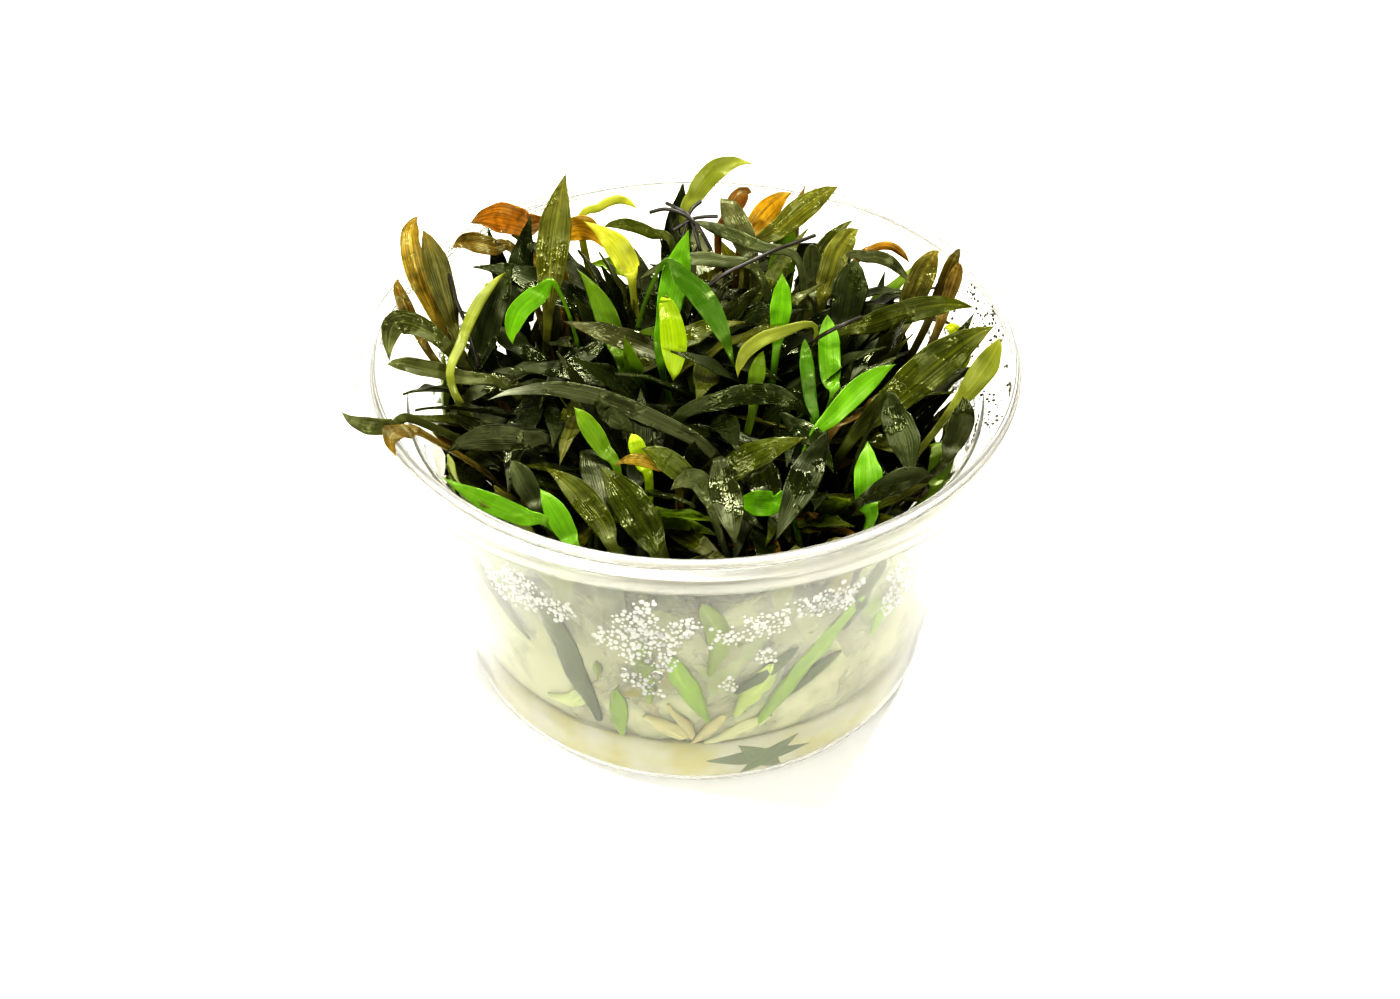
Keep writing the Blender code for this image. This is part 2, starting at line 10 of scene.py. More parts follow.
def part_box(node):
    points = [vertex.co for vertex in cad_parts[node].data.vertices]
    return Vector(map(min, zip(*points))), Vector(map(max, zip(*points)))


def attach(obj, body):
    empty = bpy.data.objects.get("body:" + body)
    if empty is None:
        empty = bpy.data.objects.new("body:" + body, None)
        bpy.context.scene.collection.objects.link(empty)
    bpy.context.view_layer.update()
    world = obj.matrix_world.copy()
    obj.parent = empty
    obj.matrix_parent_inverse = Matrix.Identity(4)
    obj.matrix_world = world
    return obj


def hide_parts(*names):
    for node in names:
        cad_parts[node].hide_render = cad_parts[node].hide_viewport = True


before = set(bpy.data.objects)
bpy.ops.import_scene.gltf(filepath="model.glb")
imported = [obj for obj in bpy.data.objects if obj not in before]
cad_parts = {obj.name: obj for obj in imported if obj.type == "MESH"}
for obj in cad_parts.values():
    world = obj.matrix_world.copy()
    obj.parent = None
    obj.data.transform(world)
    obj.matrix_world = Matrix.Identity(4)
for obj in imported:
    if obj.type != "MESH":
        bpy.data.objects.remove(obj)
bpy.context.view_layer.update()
mm = 0.001


# The table and the light: a plain white sweep lit from all round, as for a shop photograph.
# A bright window above and behind the cup puts the wet glints on the leaves.

warm_white = (1.0, 0.99, 0.94)


def lamp(name, place, size, watts, target=(0.0, 0.0, 0.04)):
    light = bpy.data.lights.new(name, "AREA")
    light.color = warm_white
    light.shape = "RECTANGLE"
    light.size, light.size_y = size
    light.energy = watts
    made = bpy.data.objects.new(name, light)
    made.location = place
    made.rotation_euler = (Vector(place) - Vector(target)).to_track_quat("Z", "Y").to_euler()
    bpy.context.scene.collection.objects.link(made)


def plain_material(name, colour, roughness):
    """A material with a Principled shader, its node tree and that shader."""
    made = bpy.data.materials.new(name)
    made.use_nodes = True
    nodes = made.node_tree
    shader = nodes.nodes["Principled BSDF"]
    shader.inputs["Base Color"].default_value = (*colour, 1.0)
    shader.inputs["Roughness"].default_value = roughness
    return made, nodes, shader


def grown_piece(name, mesh, *materials):
    """A finished piece, in place, with its materials."""
    made = bpy.data.objects.new(name, mesh)
    bpy.context.scene.collection.objects.link(made)
    for material in materials:
        mesh.materials.append(material)
    return made


sweep_white, sweep_nodes, sweep_shader = plain_material("white_table", (0.96, 0.96, 0.96), 0.6)
sweep = bmesh.new()
bmesh.ops.create_grid(sweep, x_segments=1, y_segments=1, size=2.5)
sweep_mesh = bpy.data.meshes.new("table")
sweep.to_mesh(sweep_mesh)
sweep.free()
table = grown_piece("table", sweep_mesh, sweep_white)
table.location.z = -0.0002

world = bpy.data.worlds.new("white_room")
world.use_nodes = True
world.node_tree.nodes["Background"].inputs["Color"].default_value = (1.0, 0.97, 0.84, 1.0)
world.node_tree.nodes["Background"].inputs["Strength"].default_value = 0.27
bpy.context.scene.world = world
bpy.context.scene.view_settings.view_transform = "Standard"
bpy.context.scene.view_settings.look = "High Contrast"
lamp("window_behind", (-0.08, 0.34, 0.50), (0.09, 0.06), 2.9)
lamp("window_back_right", (0.27, 0.36, 0.38), (0.05, 0.06), 1.5)
lamp("window_top", (0.04, 0.03, 0.62), (0.06, 0.05), 1.3)
lamp("window_left", (-0.42, 0.02, 0.34), (0.06, 0.10), 1.0)
lamp("front_right", (0.30, -0.50, 0.28), (0.10, 0.08), 2.0)
lamp("front_left", (-0.28, -0.52, 0.24), (0.10, 0.08), 1.7)
lamp("soft_top", (0.05, -0.05, 0.95), (0.50, 0.50), 0.6)


# The camera looks down on the cup at the photograph's angle, which the ellipse of the rim gives.

lens_pixels = 1904
image_width = 1400
look_down = math.radians(40.84)
looked_at = Vector((0.00066, 0.0, 0.02626))
camera_distance = 0.3
camera_data = bpy.data.cameras.new("camera")
camera_data.sensor_width = 36
camera_data.lens = lens_pixels * camera_data.sensor_width / image_width
camera_data.clip_start = 0.01
camera = bpy.data.objects.new("camera", camera_data)
toward_camera = Vector((0, -math.cos(look_down), math.sin(look_down)))
camera.location = looked_at + toward_camera * camera_distance
camera_axes = Matrix((Vector((1, 0, 0)), Vector((0, math.sin(look_down), math.cos(look_down))), toward_camera))
camera.rotation_euler = camera_axes.transposed().to_euler()
bpy.context.scene.collection.objects.link(camera)
bpy.context.scene.camera = camera


# The cup: one thin moulding of clear plastic. Its tapered wall ends in a shoulder and an upright mouth,
# with a rounded bead, a flat flange and a lip that hangs from it for the lid to snap over.

cup_low, cup_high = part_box("cup")
rim_radius = cup_high.x
cup_height = cup_high.z
mouth_radius = rim_radius - 3.6 * mm
wall = 0.6 * mm
foot_radius = 36.9 * mm
wall_top_radius = 43.0 * mm
shoulder_height = 50.0 * mm
foot_corner = 3.4 * mm
cup_floor = 0.9 * mm
flange_height = cup_height - 1.1 * mm
lip_bottom = cup_height - 3.5 * mm


def rounded(centre_radius, centre_height, radius, start, end, steps):
    """Points of a rounded corner, as an arc about its centre, with angles in degrees."""
    angles = [math.radians(start + (end - start) * i / steps) for i in range(steps + 1)]
    return [(centre_radius + radius * math.cos(a), centre_height + radius * math.sin(a)) for a in angles]


def outer_wall(height):
    """Radius of the outside of the tapered wall at a height."""
    share = (height - foot_corner) / (shoulder_height - foot_corner)
    return foot_radius + (wall_top_radius - foot_radius) * share


def turned(name, profile, around):
    """A turned mesh: its profile of radius and height, from the axis inside to the axis underneath."""
    form = bmesh.new()
    points = [form.verts.new((radius, 0.0, height)) for radius, height in profile]
    edges = [form.edges.new(pair) for pair in zip(points, points[1:])]
    bmesh.ops.spin(
        form,
        geom=points + edges,
        axis=(0, 0, 1),
        cent=(0, 0, 0),
        steps=around,
        angle=math.tau,
        use_merge=True,
    )
    bmesh.ops.remove_doubles(form, verts=form.verts, dist=0.002 * mm)
    bmesh.ops.recalc_face_normals(form, faces=form.faces)
    mesh = bpy.data.meshes.new(name)
    form.to_mesh(mesh)
    form.free()
    mesh.shade_smooth()
    return mesh


cup_profile = (
    [(0.0, cup_floor)]
    + rounded(foot_radius - foot_corner, foot_corner, foot_corner - wall, -90, 0, 8)
    + [
        (outer_wall(20 * mm) - wall, 20 * mm),
        (outer_wall(35 * mm) - wall, 35 * mm),
        (outer_wall(shoulder_height - 1.0 * mm) - wall, shoulder_height - 0.4 * mm),
        (wall_top_radius - wall + 0.3 * mm, shoulder_height + 0.5 * mm),
    ]
    + rounded(mouth_radius - 0.8 * mm, shoulder_height + 1.8 * mm, 0.8 * mm, -75, 0, 5)
    + rounded(mouth_radius + 0.5 * mm, cup_height - 0.5 * mm, 0.5 * mm, 180, 0, 10)
    + rounded(mouth_radius + 1.5 * mm, flange_height + 0.4 * mm, 0.4 * mm, 180, 270, 4)
    + rounded(rim_radius - 0.5 * mm, flange_height - 0.5 * mm, 0.5 * mm, 90, 0, 5)
    + rounded(rim_radius - wall / 2, lip_bottom + wall / 2, wall / 2, 0, -180, 6)
    + rounded(rim_radius - wall - 0.4 * mm, flange_height - wall - 0.4 * mm, 0.4 * mm, 0, 90, 4)
    + rounded(mouth_radius + wall + 0.4 * mm, flange_height - wall - 0.4 * mm, 0.4 * mm, 90, 180, 4)
    + rounded(mouth_radius + wall - 0.8 * mm, shoulder_height + 1.2 * mm, 0.8 * mm, 0, -75, 5)
    + [(wall_top_radius + 0.6 * mm, shoulder_height + 0.0 * mm), (outer_wall(shoulder_height - 1.2 * mm), shoulder_height - 1.2 * mm)]
    + [(outer_wall(35 * mm), 35 * mm), (outer_wall(20 * mm), 20 * mm)]
    + rounded(foot_radius - foot_corner, foot_corner, foot_corner, 0, -90, 10)
    + [(0.0, 0.0)]
)
clear_plastic, plastic_nodes, plastic_shader = plain_material("clear_plastic", (0.985, 0.980, 0.928), 0.05)
plastic_shader.inputs["Transmission Weight"].default_value = 0.97
plastic_shader.inputs["IOR"].default_value = 1.49
plastic_height = plastic_nodes.nodes.new("ShaderNodeSeparateXYZ")
plastic_nodes.links.new(plastic_nodes.nodes.new("ShaderNodeTexCoord").outputs["Object"], plastic_height.inputs[0])
rim_haze = plastic_nodes.nodes.new("ShaderNodeMapRange")
rim_haze.inputs["From Min"].default_value = shoulder_height
rim_haze.inputs["From Max"].default_value = shoulder_height + 1.5 * mm
rim_haze.inputs["To Min"].default_value = 0.05
rim_haze.inputs["To Max"].default_value = 0.24
plastic_nodes.links.new(plastic_height.outputs["Z"], rim_haze.inputs["Value"])
plastic_nodes.links.new(rim_haze.outputs["Result"], plastic_shader.inputs["Roughness"])
rim_cream = plastic_nodes.nodes.new("ShaderNodeValToRGB")
rim_cream.color_ramp.elements[0].position = 0.06
rim_cream.color_ramp.elements[0].color = (0.985, 0.980, 0.928, 1.0)
rim_cream.color_ramp.elements[1].position = 0.22
rim_cream.color_ramp.elements[1].color = (0.950, 0.940, 0.880, 1.0)
plastic_nodes.links.new(rim_haze.outputs["Result"], rim_cream.inputs["Fac"])
plastic_nodes.links.new(rim_cream.outputs["Color"], plastic_shader.inputs["Base Color"])
cup = grown_piece("clear_cup", turned("clear_cup", cup_profile, 192), clear_plastic)
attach(cup, "root")
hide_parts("cup")


# The gel: agar set in the foot of the cup, cloudy and pale yellow, that climbs a little at the wall.

gel_top = 10.0 * mm
gel_rise = 0.8 * mm
gel_wave = 0.35 * mm
gel_edge = outer_wall(gel_top) - wall - 0.05 * mm
gel_profile = (
    [(gel_edge * i / 24, gel_top) for i in range(23)]
    + [(gel_edge - 0.9 * mm, gel_top + gel_rise * 0.3), (gel_edge, gel_top + gel_rise)]
    + rounded(foot_radius - foot_corner, foot_corner, foot_corner - wall - 0.05 * mm, 0, -90, 6)
    + [(0.0, cup_floor + 0.05 * mm)]
)
gel_mesh = turned("agar_gel", gel_profile, 96)
for point in gel_mesh.vertices:
    if point.co.z > gel_top - 0.01 * mm:
        point.co.z += gel_wave * noise.noise(point.co * 160)
agar, agar_nodes, agar_shader = plain_material("set_agar", (0.98, 0.95, 0.48), 0.12)
agar_shader.inputs["Transmission Weight"].default_value = 0.35
agar_shader.inputs["IOR"].default_value = 1.34
agar_noise = agar_nodes.nodes.new("ShaderNodeTexNoise")
agar_noise.inputs["Scale"].default_value = 150.0
agar_noise.inputs["Detail"].default_value = 4.0
agar_nodes.links.new(agar_nodes.nodes.new("ShaderNodeTexCoord").outputs["Object"], agar_noise.inputs["Vector"])
agar_tone = agar_nodes.nodes.new("ShaderNodeValToRGB")
agar_tone.color_ramp.elements[0].position = 0.36
agar_tone.color_ramp.elements[0].color = (0.88, 0.83, 0.36, 1.0)
agar_tone.color_ramp.elements[1].position = 0.60
agar_tone.color_ramp.elements[1].color = (1.0, 1.0, 0.80, 1.0)
agar_nodes.links.new(agar_noise.outputs[0], agar_tone.inputs["Fac"])
agar_nodes.links.new(agar_tone.outputs["Color"], agar_shader.inputs["Base Color"])
gel = grown_piece("set_agar_gel", gel_mesh, agar)
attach(gel, "root")
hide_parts("agar_gel")


# The leaves: narrow wet blades on channelled stalks. Each one follows the rings of its solid,
# and gets a rib, thin wavy edges and a point, so that it bends exactly as the solid does.

stalk_half = 0.6 * mm
blade_edge = 0.07 * mm
blade_flesh = 0.13 * mm
rib_height = 0.22 * mm
blade_fold = 0.18


def read_leaves(node):
    """The stations of each leaf of a solid, from its foot to its tip: a centre, a half width and a normal."""
    form = bmesh.new()
    form.from_mesh(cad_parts[node].data)
    bmesh.ops.remove_doubles(form, verts=form.verts, dist=0.001 * mm)
    leaves = []
    for point in form.verts:
        rings, foot = rings_from(point)
        if len(point.link_edges) == 4 and len(rings) > 3:
            leaves.append(oriented(rings, point.co.copy(), foot))
    form.free()
    return sorted(leaves, key=lambda stations: tuple(stations[-1][0]))


def rings_from(tip):
    """The rings of four points that follow each other from a leaf's tip, and its foot where it meets a crown."""
    crown_top = gel_top + 1.2 * mm
    seen, layer, rings = {tip}, {tip}, []
    while True:
        layer = {edge.other_vert(v) for v in layer for edge in v.link_edges} - seen
        if not layer:
            return rings, None
        middle = sum((v.co for v in layer), Vector()) / len(layer)
        if len(layer) != 4 or (len(rings) > 3 and middle.z < crown_top):
            return rings, middle
        rings.append([v.co.copy() for v in layer])
        seen |= layer


def oriented(rings, tip, foot):
    """Finds each ring's edges and its upper side, from the wide blade down to the stalk and up to the tip."""
    middle = 1
    order = [middle, 0] + list(range(2, len(rings)))
    found = {}
    for place in order:
        ring = rings[place]
        near = found.get(place - 1 if place > middle else place + 1)
        pairings = (((0, 1), (2, 3)), ((0, 2), (1, 3)), ((0, 3), (1, 2)))
        best = None
        for one, other in pairings:
            for edges, faces in ((one, other), (other, one)):
                side = ring[edges[0]] - ring[edges[1]]
                up = ring[faces[0]] - ring[faces[1]]
                score = side.length - up.length if near is None else abs(side.normalized().dot(near[2]))
                if near is not None:
                    score += abs(up.normalized().dot(near[3]))
                if best is None or score > best[0]:
                    best = (score, edges, faces, side, up)
        _, edges, faces, side, up = best
        centre = (ring[faces[0]] + ring[faces[1]]) / 2
        raised = (ring[edges[0]] + ring[edges[1]]) / 2 - centre
        toward = raised if near is None else near[3]
        if up.dot(toward) < 0:
            up = -up
        if near is not None and side.dot(near[2]) < 0:
            side = -side
        found[place] = (centre, side.length / 2, side.normalized(), up.normalized())
    stations = [(found[i][0], found[i][1], found[i][3]) for i in range(len(rings) - 1, -1, -1)]
    if foot is not None:
        stations.insert(0, (foot, stations[0][1], stations[0][2]))
    return stations + [(tip, 0.0, found[0][3])]


def between(values, place):
    """A smooth curve through values at whole places, read at a place."""
    i = min(int(place), len(values) - 2)
    t = place - i
    before, here = values[max(i - 1, 0)], values[i]
    there, after = values[i + 1], values[min(i + 2, len(values) - 1)]
    return (
        here * 2
        + (there - before) * t
        + (before * 2 - here * 5 + there * 4 - after) * t**2
        + (here * 3 - before - there * 3 + after) * t**3
    ) / 2


def smooth(low, high, value):
    share = min(max((value - low) / (high - low), 0.0), 1.0)
    return share * share * (3 - 2 * share)


def mixed(one, other, share):
    return tuple(a + (b - a) * share for a, b in zip(one, other))


class LeafMesh:
    """Gathers leaves into one mesh, with their colour and their place on the blade at each point."""

    def __init__(self, name):
        self.mesh = bpy.data.meshes.new(name)
        self.points, self.faces, self.places, self.tints, self.materials = [], [], [], [], []

    def add(self, stations, look, seed, material=0, steps_each=6, half_round=8):
        blade, tip, stalk = look
        round_count = 2 * half_round
        across = [math.cos(math.pi * k / half_round) for k in range(round_count)]
        draw = random.Random(seed)
        centres = [station[0] for station in stations]
        halves = [station[1] for station in stations]
        normals = [station[2] for station in stations]
        stalk_stations = 2
        last = len(stations) - 1
        steps = steps_each * last + 4
        length = sum((b - a).length for a, b in zip(centres[stalk_stations:], centres[stalk_stations + 1:]))
        waves = max(round(length / (5.2 * mm)), 2)
        left_wave, right_wave, roll = (draw.uniform(0, math.tau) for _ in range(3))
        wave_height = draw.uniform(0.07, 0.19)
        mottle = draw.uniform(0, 50)
        rings = []
        for step in range(steps + 1):
            place = last * step / steps
            place += 0.3 * math.sin(math.pi * place / last) * 0.5
            place = min(place, last - 0.02) if step < steps else last
            centre = between(centres, place)
            ahead = between(centres, min(place + 0.05, last)) - between(centres, max(place - 0.05, 0))
            ahead.normalize()
            up = between(normals, place)
            up = (up - ahead * up.dot(ahead)).normalized()
            side = ahead.cross(up)
            share = (place - stalk_stations) / (last - stalk_stations)
            narrowed = 1 - 0.28 * smooth(0.5, 0.92, share) + 0.07 * noise.noise(Vector((place * 1.8, mottle, 0)))
            half = max(between(halves, place) * narrowed, 0.02 * mm)
            flat = smooth(0.7 * mm, 1.3 * mm, half) if share > 0 else 0.0
            if share > 0.6:
                flat = max(flat, smooth(0.55, 0.7, share))
            ring = []
            for k, u in enumerate(across):
                upper = k <= half_round
                edge = abs(u)
                phase = left_wave if u < 0 else right_wave
                wavy = half * wave_height * edge**2 * math.sin(share * waves * math.tau + phase)
                sway = 0.10 * mm * math.sin(share * 5.1 + roll + u * 1.7) * smooth(0, 0.2, share)
                bend = half * blade_fold * edge**1.6
                rib = rib_height * math.exp(-((u / 0.13) ** 2)) * (1 - smooth(0.5, 0.95, share))
                flesh = blade_edge + blade_flesh * (1 - edge**2)
                if upper:
                    blade_z = bend + wavy + sway + flesh - rib * 0.55
                    stalk_z = half * (math.sqrt(max(1 - u * u, 0.0)) * 0.6 + 0.25 * u * u)
                else:
                    blade_z = bend + wavy + sway - flesh * 0.6 - rib * 1.5
                    stalk_z = half * (-math.sqrt(max(1 - u * u, 0.0)) * 0.85 + 0.25 * u * u)
                height = blade_z * flat + stalk_z * (1 - flat)
                ring.append(len(self.points))
                self.points.append(centre + side * (u * half) + up * height)
                self.places.append((0.5 + u / 2, share, 0.0 if upper else 1.0))
                tint = mixed(stalk, blade, smooth(-0.35, 0.18, share))
                tint = mixed(tint, tip, smooth(0.55, 1.0, share) * 0.9)
                self.tints.append((*tint, mottle))
            rings.append(ring)
        for lower, higher in zip(rings, rings[1:]):
            for k in range(round_count):
                after = (k + 1) % round_count
                self.faces.append((lower[k], lower[after], higher[after], higher[k]))
                self.materials.append(material)
        self.faces.append(tuple(reversed(rings[0])))
        self.faces.append(tuple(rings[-1]))
        self.materials += [material, material]

    def finish(self):
        mesh = self.mesh
        mesh.from_pydata([tuple(p) for p in self.points], [], self.faces)
        tint = mesh.attributes.new("leaf_tint", "FLOAT_COLOR", "POINT")
        tint.data.foreach_set("color", [c for colour in self.tints for c in colour])
        where = mesh.uv_layers.new(name="along_leaf")
        under = mesh.attributes.new("underside", "FLOAT", "POINT")
        under.data.foreach_set("value", [place[2] for place in self.places])
        for loop in mesh.loops:
            where.data[loop.index].uv = self.places[loop.vertex_index][:2]
        mesh.polygons.foreach_set("material_index", self.materials)
        mesh.shade_smooth()
        form = bmesh.new()
        form.from_mesh(mesh)
        bmesh.ops.recalc_face_normals(form, faces=form.faces)
        form.to_mesh(mesh)
        form.free()
        return mesh


def group_socket(group, name, kind, value=None, way="INPUT"):
    socket = group.interface.new_socket(name=name, in_out=way, socket_type=kind)
    if value is not None:
        socket.default_value = value


def linked(nodes, kind, **inputs):
    """A shader node with its inputs set to values, or linked where a socket is given."""
    made = nodes.nodes.new(kind)
    for name, value in inputs.items():
        key = int(name[1:]) if name[1:].isdigit() else name.replace("_", " ")
        if isinstance(value, bpy.types.NodeSocket):
            nodes.links.new(value, made.inputs[key])
        else:
            made.inputs[key].default_value = value
    return made


def arithmetic(nodes, operation, one, other=0.0):
    made = linked(nodes, "ShaderNodeMath", i0=one, i1=other)
    made.operation = operation
    return made.outputs[0]


def blended(nodes, share, one, other, kind="MIX"):
    made = nodes.nodes.new("ShaderNodeMix")
    made.data_type = "RGBA"
    made.blend_type = kind
    for key, value in ((0, share), (6, one), (7, other)):
        if isinstance(value, bpy.types.NodeSocket):
            nodes.links.new(value, made.inputs[key])
        else:
            made.inputs[key].default_value = value
    return made.outputs[2]


def stepped(nodes, value, low, high, start=0.0, end=1.0):
    made = linked(nodes, "ShaderNodeMapRange", Value=value)
    made.interpolation_type = "SMOOTHSTEP"
    for name, number in (("From Min", low), ("From Max", high), ("To Min", start), ("To Max", end)):
        made.inputs[name].default_value = number
    return made.outputs[0]


# The skin of a leaf: a paler rib, fine lengthwise veins, darker cross mottling and a thin pale edge.
leaf_skin = bpy.data.node_groups.new("leaf_skin", "ShaderNodeTree")
group_socket(leaf_skin, "Tint", "NodeSocketColor", (0.1, 0.1, 0.05, 1.0))
group_socket(leaf_skin, "Place", "NodeSocketVector")
group_socket(leaf_skin, "Point", "NodeSocketVector")
group_socket(leaf_skin, "Underside", "NodeSocketFloat", 0.0)
group_socket(leaf_skin, "Rib", "NodeSocketFloat", 0.5)
group_socket(leaf_skin, "Mottle", "NodeSocketFloat", 0.5)
group_socket(leaf_skin, "Wetness", "NodeSocketFloat", 0.5)
group_socket(leaf_skin, "Color", "NodeSocketColor", way="OUTPUT")
group_socket(leaf_skin, "Roughness", "NodeSocketFloat", way="OUTPUT")
group_socket(leaf_skin, "Height", "NodeSocketFloat", way="OUTPUT")
skin_in = leaf_skin.nodes.new("NodeGroupInput")
skin_out = leaf_skin.nodes.new("NodeGroupOutput")
split = linked(leaf_skin, "ShaderNodeSeparateXYZ", Vector=skin_in.outputs["Place"])
from_rib = arithmetic(leaf_skin, "ABSOLUTE", arithmetic(leaf_skin, "SUBTRACT", split.outputs[0], 0.5))
on_blade = stepped(leaf_skin, split.outputs[1], -0.02, 0.12)
rib_line = stepped(leaf_skin, from_rib, 0.03, 0.075, 1.0, 0.0)
rib_line = arithmetic(leaf_skin, "MULTIPLY", rib_line, on_blade)
veins = arithmetic(leaf_skin, "SINE", arithmetic(leaf_skin, "MULTIPLY", from_rib, 75.0))
fine = linked(leaf_skin, "ShaderNodeTexNoise", Vector=skin_in.outputs["Point"], Scale=1150.0, Detail=3.0)
broad = linked(leaf_skin, "ShaderNodeTexNoise", Vector=skin_in.outputs["Point"], Scale=420.0, Detail=3.0)
patches = linked(leaf_skin, "ShaderNodeTexNoise", Vector=skin_in.outputs["Point"], Scale=170.0, Detail=2.0)
film = linked(leaf_skin, "ShaderNodeTexNoise", Vector=skin_in.outputs["Point"], Scale=125.0, Detail=3.0, Roughness=0.6)
film = stepped(leaf_skin, film.outputs[0], 0.47, 0.55)
film = arithmetic(leaf_skin, "MULTIPLY", film, skin_in.outputs["Wetness"])
bands = linked(leaf_skin, "ShaderNodeTexWave", Vector=skin_in.outputs["Place"], Scale=2.6, Distortion=6.0, Detail=2.0)
bands.bands_direction = "Y"
along = linked(leaf_skin, "ShaderNodeVectorMath", i0=skin_in.outputs["Place"], i1=(17.0, 2.6, 0.0))
along.operation = "MULTIPLY"
shifted = linked(leaf_skin, "ShaderNodeVectorMath", i0=skin_in.outputs["Point"], i1=(45.0, 45.0, 45.0), i2=along.outputs[0])
shifted.operation = "MULTIPLY_ADD"
streaks = linked(leaf_skin, "ShaderNodeTexNoise", Vector=shifted.outputs[0], Scale=1.0, Detail=4.0)
dark_marks = arithmetic(leaf_skin, "MULTIPLY", bands.outputs["Fac"], stepped(leaf_skin, broad.outputs[0], 0.35, 0.7))
dark_marks = arithmetic(leaf_skin, "MULTIPLY", dark_marks, skin_in.outputs["Mottle"])
dark_marks = arithmetic(leaf_skin, "MULTIPLY", dark_marks, on_blade)
colour = blended(leaf_skin, dark_marks, skin_in.outputs["Tint"], (0.35, 0.4, 0.3, 1.0), "MULTIPLY")
streak_tone = stepped(leaf_skin, streaks.outputs[0], 0.34, 0.66, 0.62, 1.32)
streaked = arithmetic(leaf_skin, "MULTIPLY", on_blade, arithmetic(leaf_skin, "MULTIPLY", skin_in.outputs["Mottle"], 2.0))
colour = blended(leaf_skin, streaked, colour, blended(leaf_skin, 1.0, colour, streak_tone, "MULTIPLY"))
light_patch = stepped(leaf_skin, patches.outputs[0], 0.45, 0.75, 0.0, 0.5)
colour = blended(leaf_skin, light_patch, colour, (1.5, 1.5, 1.2, 1.0), "MULTIPLY")
vein_shade = arithmetic(leaf_skin, "MULTIPLY", stepped(leaf_skin, veins, 0.5, 1.0, 0.0, 0.25), streaked)
colour = blended(leaf_skin, vein_shade, colour, (0.6, 0.65, 0.5, 1.0), "MULTIPLY")
rib_amount = arithmetic(leaf_skin, "MULTIPLY", rib_line, skin_in.outputs["Rib"])
colour = blended(leaf_skin, rib_amount, colour, (1.9, 1.8, 1.7, 1.0), "MULTIPLY")
edge_line = stepped(leaf_skin, from_rib, 0.46, 0.5, 0.0, 0.45)
colour = blended(leaf_skin, arithmetic(leaf_skin, "MULTIPLY", edge_line, on_blade), colour, (1.7, 1.6, 1.1, 1.0), "MULTIPLY")
under = arithmetic(leaf_skin, "MULTIPLY", skin_in.outputs["Underside"], 0.45)
colour = blended(leaf_skin, under, colour, (1.45, 1.5, 1.6, 1.0), "MULTIPLY")
leaf_skin.links.new(colour, skin_out.inputs["Color"])
roughness = stepped(leaf_skin, film, 0.0, 1.0, 0.38, 0.05)
roughness = arithmetic(leaf_skin, "ADD", roughness, arithmetic(leaf_skin, "MULTIPLY", skin_in.outputs["Underside"], 0.15))
leaf_skin.links.new(roughness, skin_out.inputs["Roughness"])
relief = arithmetic(leaf_skin, "MULTIPLY", veins, arithmetic(leaf_skin, "MULTIPLY", on_blade, 0.05))
relief = arithmetic(leaf_skin, "ADD", relief, broad.outputs[0])
beaded = arithmetic(leaf_skin, "MULTIPLY", fine.outputs[0], stepped(leaf_skin, film, 0.0, 1.0, 0.12, 1.0))
relief = arithmetic(leaf_skin, "ADD", relief, beaded)
relief = arithmetic(leaf_skin, "ADD", relief, arithmetic(leaf_skin, "MULTIPLY", streaks.outputs[0], 0.35))
leaf_skin.links.new(relief, skin_out.inputs["Height"])


def leaf_material(name, rib, mottle, wetness, relief_depth):
    """A leaf finish: how clear its rib is, how mottled, how wet and how puckered."""
    made, nodes, shader = plain_material(name, (0.1, 0.1, 0.05), 0.3)
    tint = nodes.nodes.new("ShaderNodeAttribute")
    tint.attribute_name = "leaf_tint"
    underside = nodes.nodes.new("ShaderNodeAttribute")
    underside.attribute_name = "underside"
    place = nodes.nodes.new("ShaderNodeUVMap")
    place.uv_map = "along_leaf"
    point = nodes.nodes.new("ShaderNodeTexCoord")
    skin = nodes.nodes.new("ShaderNodeGroup")
    skin.node_tree = leaf_skin
    nodes.links.new(tint.outputs["Color"], skin.inputs["Tint"])
    nodes.links.new(place.outputs["UV"], skin.inputs["Place"])
    nodes.links.new(point.outputs["Object"], skin.inputs["Point"])
    nodes.links.new(underside.outputs["Fac"], skin.inputs["Underside"])
    skin.inputs["Rib"].default_value = rib
    skin.inputs["Mottle"].default_value = mottle
    skin.inputs["Wetness"].default_value = wetness
    bump = nodes.nodes.new("ShaderNodeBump")
    bump.inputs["Distance"].default_value = relief_depth
    bump.inputs["Strength"].default_value = 1.0
    nodes.links.new(skin.outputs["Height"], bump.inputs["Height"])
    nodes.links.new(skin.outputs["Color"], shader.inputs["Base Color"])
    nodes.links.new(skin.outputs["Roughness"], shader.inputs["Roughness"])
    nodes.links.new(bump.outputs["Normal"], shader.inputs["Normal"])
    shader.inputs["IOR"].default_value = 1.5
    shader.inputs["Specular IOR Level"].default_value = 0.45
    shader.inputs["Specular Tint"].default_value = (0.80, 0.86, 0.42, 1.0)
    return made


dark_leaf = leaf_material("dark_wet_leaf", 0.5, 0.5, 1.0, 0.16 * mm)
green_leaf = leaf_material("green_leaf", 0.2, 0.15, 0.5, 0.08 * mm)
old_leaf = leaf_material("old_amber_leaf", 0.6, 0.8, 0.6, 0.12 * mm)
grey_leaf = leaf_material("grey_glare_leaf", 0.5, 0.3, 0.9, 0.13 * mm)
